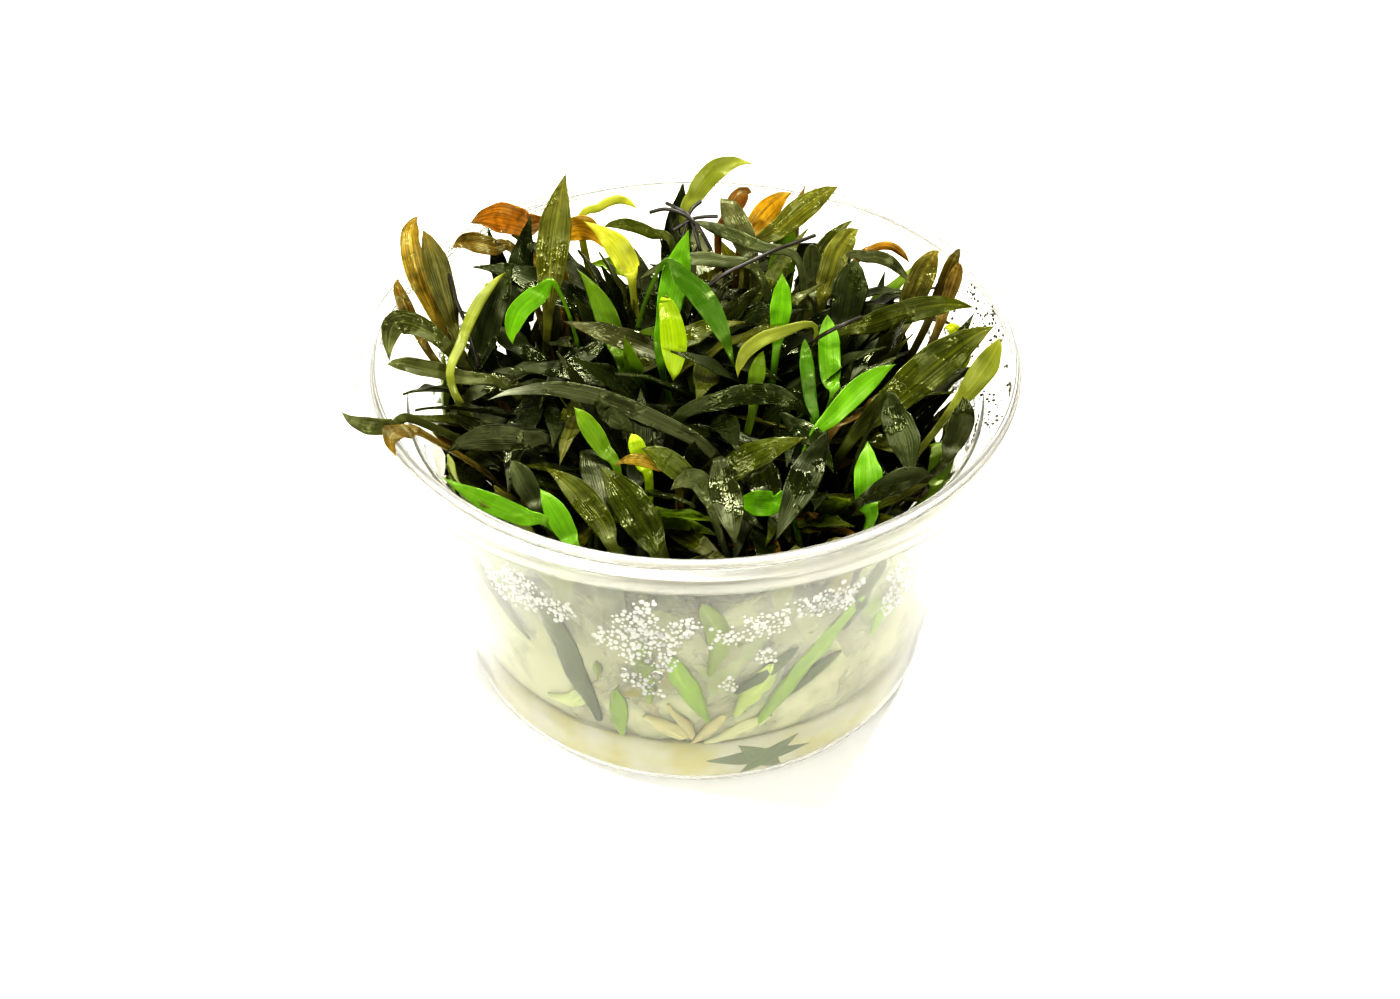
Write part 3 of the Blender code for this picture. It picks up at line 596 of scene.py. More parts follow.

# Looks: the colours of a blade, its tip and its stalk, in linear light. They are judged.
dark = ((0.012, 0.018, 0.002), (0.022, 0.030, 0.003), (0.036, 0.043, 0.007))
olive = ((0.050, 0.060, 0.004), (0.095, 0.100, 0.006), (0.080, 0.090, 0.010))
moss = ((0.10, 0.10, 0.01), (0.18, 0.17, 0.02), olive[2])
pale_tipped = ((0.045, 0.050, 0.010), (0.15, 0.16, 0.06), dark[2])
brown_tipped = ((0.08, 0.07, 0.01), (0.22, 0.15, 0.02), dark[2])
# glare_tipped gives a pale grey tip: a painted glare, not the leaf's own colour.
glare_tipped = ((0.035, 0.040, 0.015), (0.42, 0.44, 0.32), dark[2])
bright = ((0.085, 0.155, 0.004), (0.115, 0.190, 0.005), (0.090, 0.140, 0.010))
fresh = ((0.10, 0.25, 0.005), (0.11, 0.24, 0.007), bright[2])
deep_green = ((0.05, 0.13, 0.005), (0.09, 0.18, 0.007), bright[2])
lime = ((0.25, 0.36, 0.005), (0.28, 0.38, 0.006), (0.15, 0.19, 0.012))
yellow = ((0.36, 0.37, 0.03), (0.42, 0.39, 0.03), (0.20, 0.21, 0.03))
yellow_olive = ((0.16, 0.18, 0.02), (0.26, 0.27, 0.03), yellow[2])
amber = ((0.40, 0.21, 0.008), (0.44, 0.25, 0.010), (0.18, 0.15, 0.02))
ochre = ((0.27, 0.18, 0.02), (0.20, 0.12, 0.015), amber[2])
orange = ((0.26, 0.10, 0.007), (0.15, 0.07, 0.008), (0.17, 0.12, 0.015))
brown = ((0.11, 0.07, 0.01), (0.18, 0.11, 0.014), (0.09, 0.075, 0.014))
grey = ((0.050, 0.060, 0.020), (0.085, 0.095, 0.035), (0.052, 0.058, 0.014))

single_leaves = {
    "leaf_tall_olive": (moss, dark_leaf),
    "leaf_orange_arched": (orange, old_leaf),
    "leaf_orange_low": (brown, old_leaf),
    "leaf_left_torn": (ochre, old_leaf),
    "leaf_left_brown": (brown_tipped, dark_leaf),
    "leaf_left_curled": (pale_tipped, dark_leaf),
    "leaf_left_grey": (pale_tipped, grey_leaf),
    "leaf_left_strap": (yellow_olive, green_leaf),
    "leaf_left_bright": (fresh, green_leaf),
    "leaf_back_dark": (dark, dark_leaf),
    "leaf_left_dark": (dark, dark_leaf),
    "leaf_back_amber": (amber, old_leaf),
    "leaf_back_pale_arch": (yellow, green_leaf),
    "leaf_back_yellow": (yellow, green_leaf),
    "leaf_middle_upright": (fresh, green_leaf),
    "leaf_middle_lime": (lime, green_leaf),
    "leaf_middle_bent": (deep_green, green_leaf),
    "leaf_middle_grey_arch": (grey, grey_leaf),
    "leaf_back_yellow_top": (yellow_olive, green_leaf),
    "leaf_back_amber_right": (amber, old_leaf),
    "leaf_back_olive": (moss, dark_leaf),
    "leaf_back_grey": (grey, grey_leaf),
    "leaf_right_blunt": (moss, dark_leaf),
    "leaf_right_dark": (dark, dark_leaf),
    "leaf_right_tip": (brown_tipped, dark_leaf),
    "leaf_right_level": (olive, dark_leaf),
    "leaf_right_big": (olive, dark_leaf),
    "leaf_right_edge": (yellow_olive, green_leaf),
    "leaf_right_diagonal": (fresh, green_leaf),
    "leaf_right_spoon": (fresh, green_leaf),
    "leaf_middle_strap": (deep_green, green_leaf),
    "leaf_right_upright": (fresh, green_leaf),
    "leaf_middle_olive_arch": (yellow_olive, green_leaf),
    # The front long leaf carries the painted glare at its tip.
    "leaf_front_long": (glare_tipped, grey_leaf),
    "leaf_front_bridge": (dark, dark_leaf),
    "leaf_left_overhanging": (pale_tipped, old_leaf),
    "leaf_left_under": (brown, old_leaf),
    "leaf_front_left_rim": (fresh, green_leaf),
    "leaf_front_left_green": (fresh, green_leaf),
    "leaf_front_left_olive": (olive, dark_leaf),
    "leaf_front_ochre": (ochre, old_leaf),
    "leaf_front_bright": (fresh, green_leaf),
    "leaf_front_curled": (grey, grey_leaf),
    "leaf_front_right_upright": (fresh, green_leaf),
    "leaf_front_right_dark": (dark, dark_leaf),
    "leaf_wall_dark": (dark, dark_leaf),
}
for count, (node, (look, finish)) in enumerate(single_leaves.items()):
    gathered = LeafMesh(node)
    stations = read_leaves(node)[0]
    if node == "leaf_front_long":
        stations = [(point, half * (1 - 0.09 * i), up) for i, (point, half, up) in enumerate(stations)]
    gathered.add(stations, look, count)
    leaf = grown_piece("fine_" + node, gathered.finish(), finish)
    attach(leaf, "root")
    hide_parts(node)


# The plants: each is a short brown crown in the gel with the rest of its leaves on it. The leaves that
# the photograph shows get their own colours by where their tips are, and the others mostly dark ones.

known_tips = (
    ((-11.2, -34.6, 21), lime), ((-2.7, -37, 30), bright), ((14.5, -33.5, 22.5), lime), ((19.2, -31.5, 25), dark),
    ((12.4, -35.2, 29), dark), ((24, -30.5, 38.5), olive), ((-32, -24, 38), grey), ((-8.3, -34.6, 17.5), amber),
    ((40.6, 19, 60.7), brown), ((-25.9, -22, 52.4), grey), ((33.5, 18, 54.9), grey), ((33.5, -18, 52), bright),
    ((-44.5, 10, 61.3), brown), ((-14.6, 30, 57.5), olive), ((8.9, 34, 61.3), orange), ((3.9, 33, 60.8), grey),
    ((18.3, 26, 57), grey), ((33.7, 24, 54.5), amber), ((40.1, 16, 60.1), brown), ((37.4, 7, 54.2), lime),
    ((10, -1, 56), bright), ((19.5, -22, 50), dark), ((-35, -20, 52.3), dark), ((-8.9, -18, 54), lime),
    ((-7.5, -21, 53.8), olive), ((-17.3, -13, 54.9), bright), ((-8.5, -15, 51.5), dark), ((38, -11, 55), dark),
    ((33, -24, 51.4), dark), ((15.3, -33, 51.4), brown), ((10.6, -38, 51.8), dark), ((5.3, -39, 51.9), dark),
    ((-13.2, -24, 53), olive),
)
known_reach = 4.5 * mm
crown_sides = 20
crown_radius = 3.4 * mm
crown_brown = ((0.10, 0.08, 0.03),) * 3


def look_at_tip(tip, draw):
    """A known leaf's colours, or mostly dark ones with some olive and a few green."""
    near = min(known_tips, key=lambda known: (Vector(known[0]) * mm - tip).length)
    if (Vector(near[0]) * mm - tip).length < known_reach:
        return near[1]
    return draw.choices((dark, olive, bright, grey, brown, yellow), (12, 5, 3, 1, 1, 0.5))[0]


def finish_for(look):
    if look in (bright, lime, yellow):
        return 1
    if look in (amber, orange, brown):
        return 2
    return 3 if look is grey else 0


def varied(look, draw):
    """The same colours a little lighter or darker, and a little yellower."""
    light, warm = draw.uniform(0.55, 1.15), draw.uniform(0.9, 1.25)
    return tuple((r * light * warm, g * light, b * light) for r, g, b in look)


# The thicket has more leaves than the solids show. They fill the gaps between the others, cross none
# of them at the middle, and stay lower than the tips of the solids.
# For the upper and the lower ones: how many, their heights, droops, blade lengths and widths.
further_kinds = (
    (22, (42, 55.0), (45, 105), (18, 28), (3.0, 5.4)),
    (12, (22, 41), (5, 60), (14, 22), (2.8, 4.8)),
)
edge_leaves = 12
edge_crowns = 19 * mm
further_trials = 80
thicket_top = 57.5 * mm
thicket_form = ((0.0, 0.3), (0.22, 0.8), (0.42, 1.0), (0.65, 0.82), (0.85, 0.42))
wall_clearance = 0.7 * mm
ribbons = []


def solid_tree(start_of_name, lowest):
    """The leaf solids whose names start so, as one tree, without what is lower than a height."""
    points, faces = [], []
    for name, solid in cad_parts.items():
        if name in ("cup", "agar_gel") or not name.startswith(start_of_name):
            continue
        start = len(points)
        points += [v.co.copy() for v in solid.data.vertices]
        for face in solid.data.polygons:
            if min(points[start + i].z for i in face.vertices) > lowest:
                faces.append(tuple(start + i for i in face.vertices))
    return BVHTree.FromPolygons(points, faces)


leaf_solids = solid_tree("", 0.0)
seen_blades = solid_tree("leaf_", 46 * mm)


def arched(foot, base, tip, half, out, draw):
    """The stations of a leaf: a stalk from its foot to the base of the blade, and the blade bent over to its tip."""
    up = Vector((0, 0, 1))
    cross = out.cross(up)
    blade = (tip - base).length
    sickle = cross * blade * draw.uniform(-0.16, 0.16)
    bend = (base + tip) / 2 + sickle + (up * 0.9 + out * 0.1) * blade * draw.uniform(0.08, 0.26)
    roll, twist = draw.uniform(-0.6, 0.6), draw.uniform(-0.8, 0.8)
    straight = up - out * 0.6
    reach = (base - foot).length
    facing = (straight + cross * roll).normalized()
    stations = [(foot, stalk_half, facing), ((foot + base) / 2 + (up - out) * reach * 0.03, stalk_half, facing)]
    for t, share in thicket_form:
        centre = base * (1 - t) ** 2 + bend * 2 * t * (1 - t) + tip * t**2
        facing = (straight + cross * (roll + twist * t)).normalized()
        stations.append((centre, max(half * share, stalk_half), facing))
    return stations + [(tip, 0.0, facing)]


def level(turn):
    return Vector((math.cos(turn), math.sin(turn), 0))


def foot_beside(crown, draw):
    aside = level(draw.uniform(0, math.tau))
    return crown + aside * draw.uniform(1.5, 6) * mm, aside


def loose_leaf(crown, draw, kind):
    """A leaf that grows from beside a crown and arches over to a random side."""
    _, heights, droops, lengths, widths = kind
    up = Vector((0, 0, 1))
    out = level(draw.uniform(0, math.tau))
    lean = math.radians(draw.uniform(-4, 22))
    droop = math.radians(draw.uniform(*droops))
    height, blade = draw.uniform(*heights) * mm, draw.uniform(*lengths) * mm
    foot, aside = foot_beside(crown, draw)
    rise = max(height - blade * 0.35 - foot.z, 8 * mm)
    base = foot + aside * draw.uniform(0, 5) * mm + (up + out * math.tan(lean)) * rise
    tip = base + (up * math.cos(droop) + out * math.sin(droop)) * blade
    return arched(foot, base, tip, draw.uniform(*widths) * mm / 2, out, draw)


def edge_leaf(crown, draw):
    """A leaf of an outer crown that leans against the wall and bends along it."""
    turn = math.atan2(crown.y, crown.x) + draw.uniform(-0.5, 0.5)
    height = draw.uniform(26, 44) * mm
    foot, _ = foot_beside(crown, draw)
    base = level(turn) * (outer_wall(height) - draw.uniform(3, 8) * mm) + Vector((0, 0, height))
    tip_height = min(height + draw.uniform(4, 17) * mm, 54 * mm)
    tip_turn = turn + draw.uniform(-0.45, 0.45)
    tip = level(tip_turn) * (outer_wall(tip_height) - draw.uniform(2, 7) * mm) + Vector((0, 0, tip_height))
    return arched(foot, base, tip, draw.uniform(1.5, 2.7) * mm, level(turn), draw)


def ribbon_of(stations):
    """The middle of a leaf's width as a strip of faces, thin along its stalk."""
    points = []
    for i, (centre, half, facing) in enumerate(stations):
        ahead = (stations[min(i + 1, len(stations) - 1)][0] - stations[max(i - 1, 0)][0]).normalized()
        side = ahead.cross(facing).normalized() * max(half * 0.75 - 0.2 * mm, 0.15 * mm)
        points += [centre - side, centre + side]
    return points, [(i, i + 1, i + 3, i + 2) for i in range(0, len(points) - 2, 2)]


def inside_cup(point):
    if point.z > thicket_top:
        return False
    limit = mouth_radius if point.z > shoulder_height + 1 * mm else outer_wall(point.z) - wall
    return point.xy.length < limit - wall_clearance


def hides_a_leaf(points):
    """True where a leaf would stand before one of those that the photograph shows."""
    hidden = 0
    for point in points[4:]:
        away = (point - camera.location).normalized()
        hidden += seen_blades.ray_cast(point, away, 30 * mm)[0] is not None
    return hidden > 2


def has_room(points, faces):
    if not all(inside_cup(point) for point in points) or hides_a_leaf(points):
        return False
    tree = BVHTree.FromPolygons(points[2:], [tuple(i - 2 for i in face) for face in faces[1:]])
    if tree.overlap(leaf_solids) or any(tree.overlap(other) for other in ribbons):
        return False
    ribbons.append(tree)
    return True


def add_crown(gathered, place, draw):
    """A short lumpy tuber, half sunk in the gel."""
    rows = 8
    start = len(gathered.points)
    for row in range(rows + 1):
        angle = math.pi * row / rows
        for side in range(crown_sides):
            turn = math.tau * side / crown_sides
            point = Vector((math.sin(angle) * math.cos(turn), math.sin(angle) * math.sin(turn), math.cos(angle)))
            lump = 1 + 0.16 * noise.noise(point * 2.2 + place * 400)
            middle = Vector((place.x, place.y, gel_top - 1.3 * mm))
            gathered.points.append(middle + Vector((point.x * crown_radius, point.y * crown_radius, point.z * 3 * mm)) * lump)
            gathered.places.append((0.5, -0.5, 0.0))
            gathered.tints.append((*crown_brown[0], 0.0))
    for row in range(rows):
        for side in range(crown_sides):
            after = (side + 1) % crown_sides
            a, b = start + row * crown_sides, start + (row + 1) * crown_sides
            gathered.faces.append((a + side, b + side, b + after, a + after))
            gathered.materials.append(2)


def crown_of(node):
    """The middle of a plant's crown, from the lowest points of its solid."""
    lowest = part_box(node)[0].z + 0.5 * mm
    low = [v.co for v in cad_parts[node].data.vertices if v.co.z < lowest]
    middle = sum(low, Vector()) / len(low)
    return Vector((middle.x, middle.y, gel_top + 0.8 * mm))


crowns = []
for index in range(1, 13):
    node = f"plant_{index}"
    draw = random.Random(100 + index)
    gathered = LeafMesh(node)
    crown = crown_of(node)
    crowns.append(crown)
    add_crown(gathered, crown, draw)
    for stations in read_leaves(node):
        look = look_at_tip(stations[-1][0], draw)
        gathered.add(stations, varied(look, draw), draw.random(), finish_for(look))
    kinds = [(kind[0], lambda kind=kind: loose_leaf(crown, draw, kind)) for kind in further_kinds]
    if crown.xy.length > edge_crowns:
        kinds.insert(0, (edge_leaves, lambda: edge_leaf(crown, draw)))
    for wanted, grow in kinds:
        placed, trials = 0, 0
        while placed < wanted and trials < further_trials * wanted:
            trials += 1
            stations = grow()
            if has_room(*ribbon_of(stations)):
                placed += 1
                look = draw.choices((dark, olive, bright, grey, brown), (15, 5, 1, 1, 1))[0]
                gathered.add(stations, varied(look, draw), draw.random(), finish_for(look), 3, 6)
    plant = grown_piece(f"fine_{node}", gathered.finish(), dark_leaf, green_leaf, old_leaf, grey_leaf)
    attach(plant, "root")
    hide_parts(node)

# Roots: cream threads that wander through the gel from each crown. One tree of nodes sweeps a round
# section along them, and along the dead strands too.

strand_tree = bpy.data.node_groups.new("swept_strand", "GeometryNodeTree")
strand_tree.is_modifier = True
group_socket(strand_tree, "Geometry", "NodeSocketGeometry")
group_socket(strand_tree, "Thickness", "NodeSocketFloat", 0.0004)
group_socket(strand_tree, "Sides", "NodeSocketInt", 6)
group_socket(strand_tree, "Finish", "NodeSocketMaterial")
group_socket(strand_tree, "Geometry", "NodeSocketGeometry", way="OUTPUT")
strand_in = strand_tree.nodes.new("NodeGroupInput")
strand_out = strand_tree.nodes.new("NodeGroupOutput")
half_thick = strand_tree.nodes.new("ShaderNodeMath")
half_thick.operation = "MULTIPLY"
half_thick.inputs[1].default_value = 0.5
strand_tree.links.new(strand_in.outputs["Thickness"], half_thick.inputs[0])
section = strand_tree.nodes.new("GeometryNodeCurvePrimitiveCircle")
strand_tree.links.new(strand_in.outputs["Sides"], section.inputs["Resolution"])
strand_tree.links.new(half_thick.outputs[0], section.inputs["Radius"])
sweep_section = strand_tree.nodes.new("GeometryNodeCurveToMesh")
sweep_section.inputs["Fill Caps"].default_value = True
strand_tree.links.new(strand_in.outputs["Geometry"], sweep_section.inputs["Curve"])
strand_tree.links.new(section.outputs["Curve"], sweep_section.inputs["Profile Curve"])
strand_smooth = strand_tree.nodes.new("GeometryNodeSetShadeSmooth")
strand_tree.links.new(sweep_section.outputs["Mesh"], strand_smooth.inputs["Geometry"])
strand_real = strand_tree.nodes.new("GeometryNodeRealizeInstances")
strand_tree.links.new(strand_smooth.outputs["Geometry"], strand_real.inputs["Geometry"])
strand_finish = strand_tree.nodes.new("GeometryNodeSetMaterial")
strand_tree.links.new(strand_real.outputs["Geometry"], strand_finish.inputs["Geometry"])
strand_tree.links.new(strand_in.outputs["Finish"], strand_finish.inputs["Material"])
strand_tree.links.new(strand_finish.outputs["Geometry"], strand_out.inputs["Geometry"])


def run_tree(holder, tree, values):
    """Runs a tree on an object with its inputs set by name, and gives the plain mesh it makes."""
    change = holder.modifiers.new(tree.name, "NODES")
    change.node_group = tree
    for item in tree.interface.items_tree:
        if item.in_out == "INPUT" and item.name in values:
            change[item.identifier] = values[item.name]
    bpy.context.view_layer.update()
    made = bpy.data.meshes.new_from_object(holder.evaluated_get(bpy.context.evaluated_depsgraph_get()))
    bpy.data.objects.remove(holder)
    return made


def swept(name, routes, thickness, finish, sides=6):
    """Strands along routes of points, thickest at their middle."""
    curve = bpy.data.curves.new(name, "CURVE")
    curve.dimensions = "3D"
    for route in routes:
        count = 4 * (len(route) - 1)
        line = [between(route, (len(route) - 1) * i / count) for i in range(count + 1)]
        spline = curve.splines.new("POLY")
        spline.points.add(len(line) - 1)
        for i, (point, where) in enumerate(zip(spline.points, line)):
            point.co = (*where, 1.0)
            point.radius = 0.35 + 0.65 * math.sin(math.pi * min(i / len(line) + 0.25, 1.0)) ** 0.6
    holder = bpy.data.objects.new(name, curve)
    bpy.context.scene.collection.objects.link(holder)
    mesh = run_tree(holder, strand_tree, {"Thickness": thickness, "Sides": sides, "Finish": finish})
    mesh.name = name
    return grown_piece(name, mesh)


root_thickness = 0.55 * mm
roots_each = 9
root_cream, root_nodes, root_shader = plain_material("root_cream", (0.82, 0.76, 0.52), 0.45)
root_noise = linked(root_nodes, "ShaderNodeTexNoise", Scale=700.0, Detail=2.0)
root_nodes.links.new(root_nodes.nodes.new("ShaderNodeTexCoord").outputs["Object"], root_noise.inputs["Vector"])
root_tone = blended(root_nodes, root_noise.outputs[0], (0.88, 0.84, 0.62, 1.0), (0.66, 0.55, 0.28, 1.0))
root_nodes.links.new(root_tone, root_shader.inputs["Base Color"])
draw = random.Random(7)
root_routes = []
for crown in crowns:
    for number in range(roots_each):
        turn = math.tau * (number + draw.random()) / roots_each
        length = draw.uniform(7, 15) * mm
        route = [crown + Vector((0, 0, -2.5 * mm))]
        for leg in range(1, 6):
            turn += draw.uniform(-0.5, 0.5)
            step = Vector((math.cos(turn), math.sin(turn), 0)) * length / 5
            point = route[-1] + step
            point.z = max(gel_top - (1.5 + leg * draw.uniform(0.6, 1.5)) * mm, 3.4 * mm)
            limit = foot_radius - 1.3 * mm
            if point.xy.length > limit:
                point.xy = point.xy * limit / point.xy.length
            route.append(point)
        root_routes.append(route)
roots = swept("roots", root_routes, root_thickness, root_cream)
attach(roots, "root")


# Dead strands: black twig-like old stalks that lie over the leaves, and a tuft of them at the back.

strand_black, strand_nodes, strand_shader = plain_material("dead_strand", (0.012, 0.011, 0.008), 0.35)
strand_noise = linked(strand_nodes, "ShaderNodeTexNoise", Scale=900.0, Detail=2.0)
strand_nodes.links.new(strand_nodes.nodes.new("ShaderNodeTexCoord").outputs["Object"], strand_noise.inputs["Vector"])
strand_tone = blended(strand_nodes, strand_noise.outputs[0], (0.008, 0.008, 0.006, 1.0), (0.045, 0.035, 0.02, 1.0))
strand_nodes.links.new(strand_tone, strand_shader.inputs["Base Color"])
dead_routes = (
    ((18.4, 21.9, 61.2), (15.4, 19.6, 61.4), (12.2, 17.3, 61.6), (8.0, 15.0, 60.8), (3.8, 12.8, 59.8), (0.2, 11.0, 57.5)),
    ((-7.2, 27.8, 61.6), (-4.8, 27.2, 62.6), (-2.2, 25.6, 62.8), (0.2, 23.9, 61.8), (2.4, 22.0, 58.5)),
    ((-4.6, 29.2, 62.4), (-2.8, 26.8, 62.9), (-0.8, 25.0, 62.2), (0.8, 22.4, 57.5)),
    ((0.8, 28.4, 63.2), (-0.6, 26.4, 63.0), (-1.6, 24.6, 61.4), (-2.6, 22.6, 57.0)),
    ((3.4, 25.4, 62.4), (1.4, 25.0, 62.6), (-0.8, 24.8, 62.2), (-3.4, 24.6, 60.4)),
    ((-37.5, 13.5, 60.5), (-36.4, 10.8, 57.5), (-34.6, 8.2, 53.5), (-33.2, 6.0, 48.0)),
    ((24.5, 3.6, 58.8), (21.5, 1.8, 58.6), (18.8, 1.6, 57.0), (16.5, 3.0, 54.0)),
)
dead = swept("dead_strands", [[Vector(p) * mm for p in route] for route in dead_routes], 0.62 * mm, strand_black)
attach(dead, "root")


# A star of small dark leaves in the gel, pressed against the front wall.



def kept_inside(gathered, gap, onto=False):
    """Presses what would pass through the wall against its inside, or all of it onto the wall."""
    for i, point in enumerate(gathered.points):
        limit = outer_wall(point.z) - wall
        if point.z < foot_corner:
            corner = foot_corner - wall
            limit = foot_radius - foot_corner + math.sqrt(max(corner**2 - (foot_corner - point.z) ** 2, 0))
        limit -= gap if gathered.places[i][2] else gap + 0.14 * mm
        if onto or point.xy.length > limit:
            point.xy = point.xy * limit / point.xy.length


star_lobes = (
    ((1.6, -36.2, 6.4), (16.8, -32.0, 5.8), 1.8),
    ((12.8, -33.4, 2.2), (6.2, -36.0, 9.8), 1.7),
    ((6.6, -35.2, 2.6), (15.0, -33.4, 9.4), 1.5),
)
star_leaves = LeafMesh("sunken_leaves")
for count, (one_end, other_end, half) in enumerate(star_lobes):
    one_end, other_end = Vector(one_end) * mm, Vector(other_end) * mm
    facing = -Vector((one_end.x + other_end.x, one_end.y + other_end.y, 0)).normalized()
    line = [one_end.lerp(other_end, t) - facing * 0.5 * mm * math.sin(math.pi * t) for t in (0, 0.08, 0.3, 0.55, 0.8)]
    stations = [(point, half * mm * share, facing) for point, share in zip(line, (0.05, 0.3, 0.9, 1.0, 0.6))]
    star_leaves.add(stations + [(other_end, 0.0, facing)], ((0.13, 0.16, 0.080),) * 3, count, 0, 4, 6)
kept_inside(star_leaves, 0.02 * mm, True)
sunken_skin = leaf_material("sunken_leaf", 0.2, 0.2, 0.0, 0.05 * mm)
star = grown_piece("sunken_leaves", star_leaves.finish(), sunken_skin)
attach(star, "root")


# Leaves pressed against the inside of the wall, seen sharply through it.


def wall_point(degrees, height, inset):
    """A point inside the wall, by degrees round from the front and by height."""
    turn = math.radians(degrees - 90)
    radius = outer_wall(height) - wall
    if height > shoulder_height - 1 * mm:
        ledge = smooth(shoulder_height + 0.2 * mm, shoulder_height + 1.8 * mm, height)
        radius += (mouth_radius - radius) * ledge
    radius -= inset
    return Vector((radius * math.cos(turn), radius * math.sin(turn), height))


# Each from its foot to its tip in degrees and millimetres of height, with half its width and its colours.
olive_pale = ((0.15, 0.20, 0.030),) * 3
green_pale = ((0.17, 0.28, 0.012),) * 3
dark_pressed = ((0.046, 0.064, 0.012),) * 3
pressed = (
    (((-22.5, 13), (-24.0, 17), (-27.4, 24), (-29.8, 31), (-34.6, 38)), 2.1, dark_pressed),
    (((-38, 26), (-41, 28), (-46, 31.5), (-50, 34.5), (-55, 38)), 0.9, dark_pressed),
    (((3.0, 16), (1.4, 18.5), (-1.1, 23), (-3.0, 26), (-4.6, 30)), 1.7, green_pale),
    (((-17.0, 10.6), (-17.2, 12), (-17.5, 15), (-17.4, 17.5), (-17.2, 20.5)), 1.4, green_pale),
    (((-21.4, 23), (-21.3, 24), (-21.2, 25.2), (-21.1, 26), (-21.1, 27)), 0.7, olive_pale),
    (((13.5, 13.5), (15.6, 16), (21.5, 23), (28.0, 29), (34.8, 35.5)), 1.5, green_pale),
    (((32.0, 31), (33.5, 33), (36.0, 36), (37.5, 38.5), (39.5, 42)), 1.5, dark_pressed),
    (((8.6, 22.4), (10.5, 23.5), (14.5, 25.6), (17.0, 27.2), (20.5, 29.6)), 1.1, dark_pressed),
    (((20.4, 19.4), (22.4, 20.6), (25.7, 22.6), (28.0, 23.8), (31.5, 25.4)), 1.0, dark_pressed),
    (((41.0, 25.5), (41.7, 27), (42.7, 29), (43.3, 30.5), (44.0, 32)), 1.1, green_pale),
    (((-10.0, 20), (-10.2, 22), (-10.5, 26), (-10.7, 29), (-11.0, 33)), 1.5, olive_pale),
    (((3.0, 27), (4.0, 30), (5.0, 34), (4.0, 38), (2.0, 42)), 1.8, olive_pale),
    (((-11.5, 16.5), (-9.5, 15.6), (-6.5, 14.0), (-4.5, 13.0), (-2.5, 12)), 1.5, ((0.44, 0.41, 0.20),) * 3),
    (((-1.0, 10.4), (0.5, 11.6), (2.5, 13.2), (4.0, 14.6), (6.0, 16.6)), 1.0, ((0.40, 0.36, 0.17),) * 3),
    (((2.0, 10.6), (5.0, 11.4), (9.0, 12.8), (12.0, 13.8), (16.0, 15.0)), 1.2, ((0.46, 0.47, 0.25),) * 3),
    (((-6.0, 20), (-5.0, 18), (-2.5, 15.5), (-1.5, 13.6), (-1.0, 12)), 0.9, ((0.36, 0.32, 0.15),) * 3),
    (((9.0, 17), (10.5, 19.5), (12.5, 22), (14.5, 24), (16.0, 27)), 2.0, ((0.30, 0.37, 0.10),) * 3),
    (((-36.0, 14), (-33.0, 14.5), (-29.0, 15.5), (-27.0, 17), (-25.0, 19)), 1.4, ((0.38, 0.43, 0.20),) * 3),
)
pressed_inset = 0.55 * mm
pressed_leaves = LeafMesh("pressed_leaves")


def press(turns, half, look, seed, inset=pressed_inset):
    line = [wall_point(degrees, height * mm, inset) for degrees, height in turns]
    tip = line[-1] + (line[-1] - line[-2]) * 0.35
    stations = []
    for point, share in zip(line, (0.25, 0.5, 0.95, 1.0, 0.6)):
        stations.append((point, half * mm * share, -Vector((point.x, point.y, 0)).normalized()))
    pressed_leaves.add(stations + [(tip, 0.0, stations[-1][2])], look, seed, 0, 4, 6)


for seed, (turns, half, look) in enumerate(pressed):
    press(turns, half, look, seed)
draw = random.Random(21)
for number in range(26):
    degrees, height = 62 + 236 * (number + draw.random()) / 26, draw.uniform(13, 26)
    slope, rise, curl = draw.uniform(-24, 24), draw.uniform(7, 22), draw.uniform(-7, 7)
    turns = [(degrees + slope * t + curl * t * t, height + rise * t) for t in (0, 0.2, 0.5, 0.75, 1.0)]
    press(turns, draw.uniform(0.7, 1.9), draw.choice((olive_pale, green_pale, dark_pressed)), number)
# Further in, behind the fog, are leaves of many pale tones: painted light, for the light that comes through the wall
# onto them.
painted_light_tones = ((0.22, 0.29, 0.06), (0.34, 0.38, 0.10), (0.13, 0.17, 0.03), (0.40, 0.38, 0.10), (0.22, 0.19, 0.04))
for number in range(96):
    degrees, height = 360 * (number + draw.random()) / 96, draw.uniform(10, 36)
    slope, rise = draw.uniform(-22, 22), draw.uniform(6, 17)
    turns = [(degrees + slope * t, height + rise * t) for t in (0, 0.2, 0.5, 0.75, 1.0)]
    tone = draw.choice(painted_light_tones)
    if abs((degrees + 180) % 360 - 180) < 32 and height + rise > 30:
        tone = (0.10, 0.11, 0.016)
    press(turns, draw.uniform(1.3, 2.8), (tone,) * 3, number, draw.uniform(1.8, 4.2) * mm)
kept_inside(pressed_leaves, 0.12 * mm)
wall_leaves = grown_piece("pressed_leaves", pressed_leaves.finish(), green_leaf)
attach(wall_leaves, "root")


# Fog: a film of fine condensation just inside the wall, that fades out toward the top.

fog_bottom = gel_top + 0.2 * mm
fog_top = shoulder_height - 1.2 * mm
fog_inset = 1.15 * mm
fog_rows = 40
fog_around = 192


def fog_points(inset):
    for row in range(fog_rows + 1):
        height = fog_bottom + (fog_top - fog_bottom) * row / fog_rows
        for side in range(fog_around):
            yield wall_point(360 * side / fog_around, height, inset)


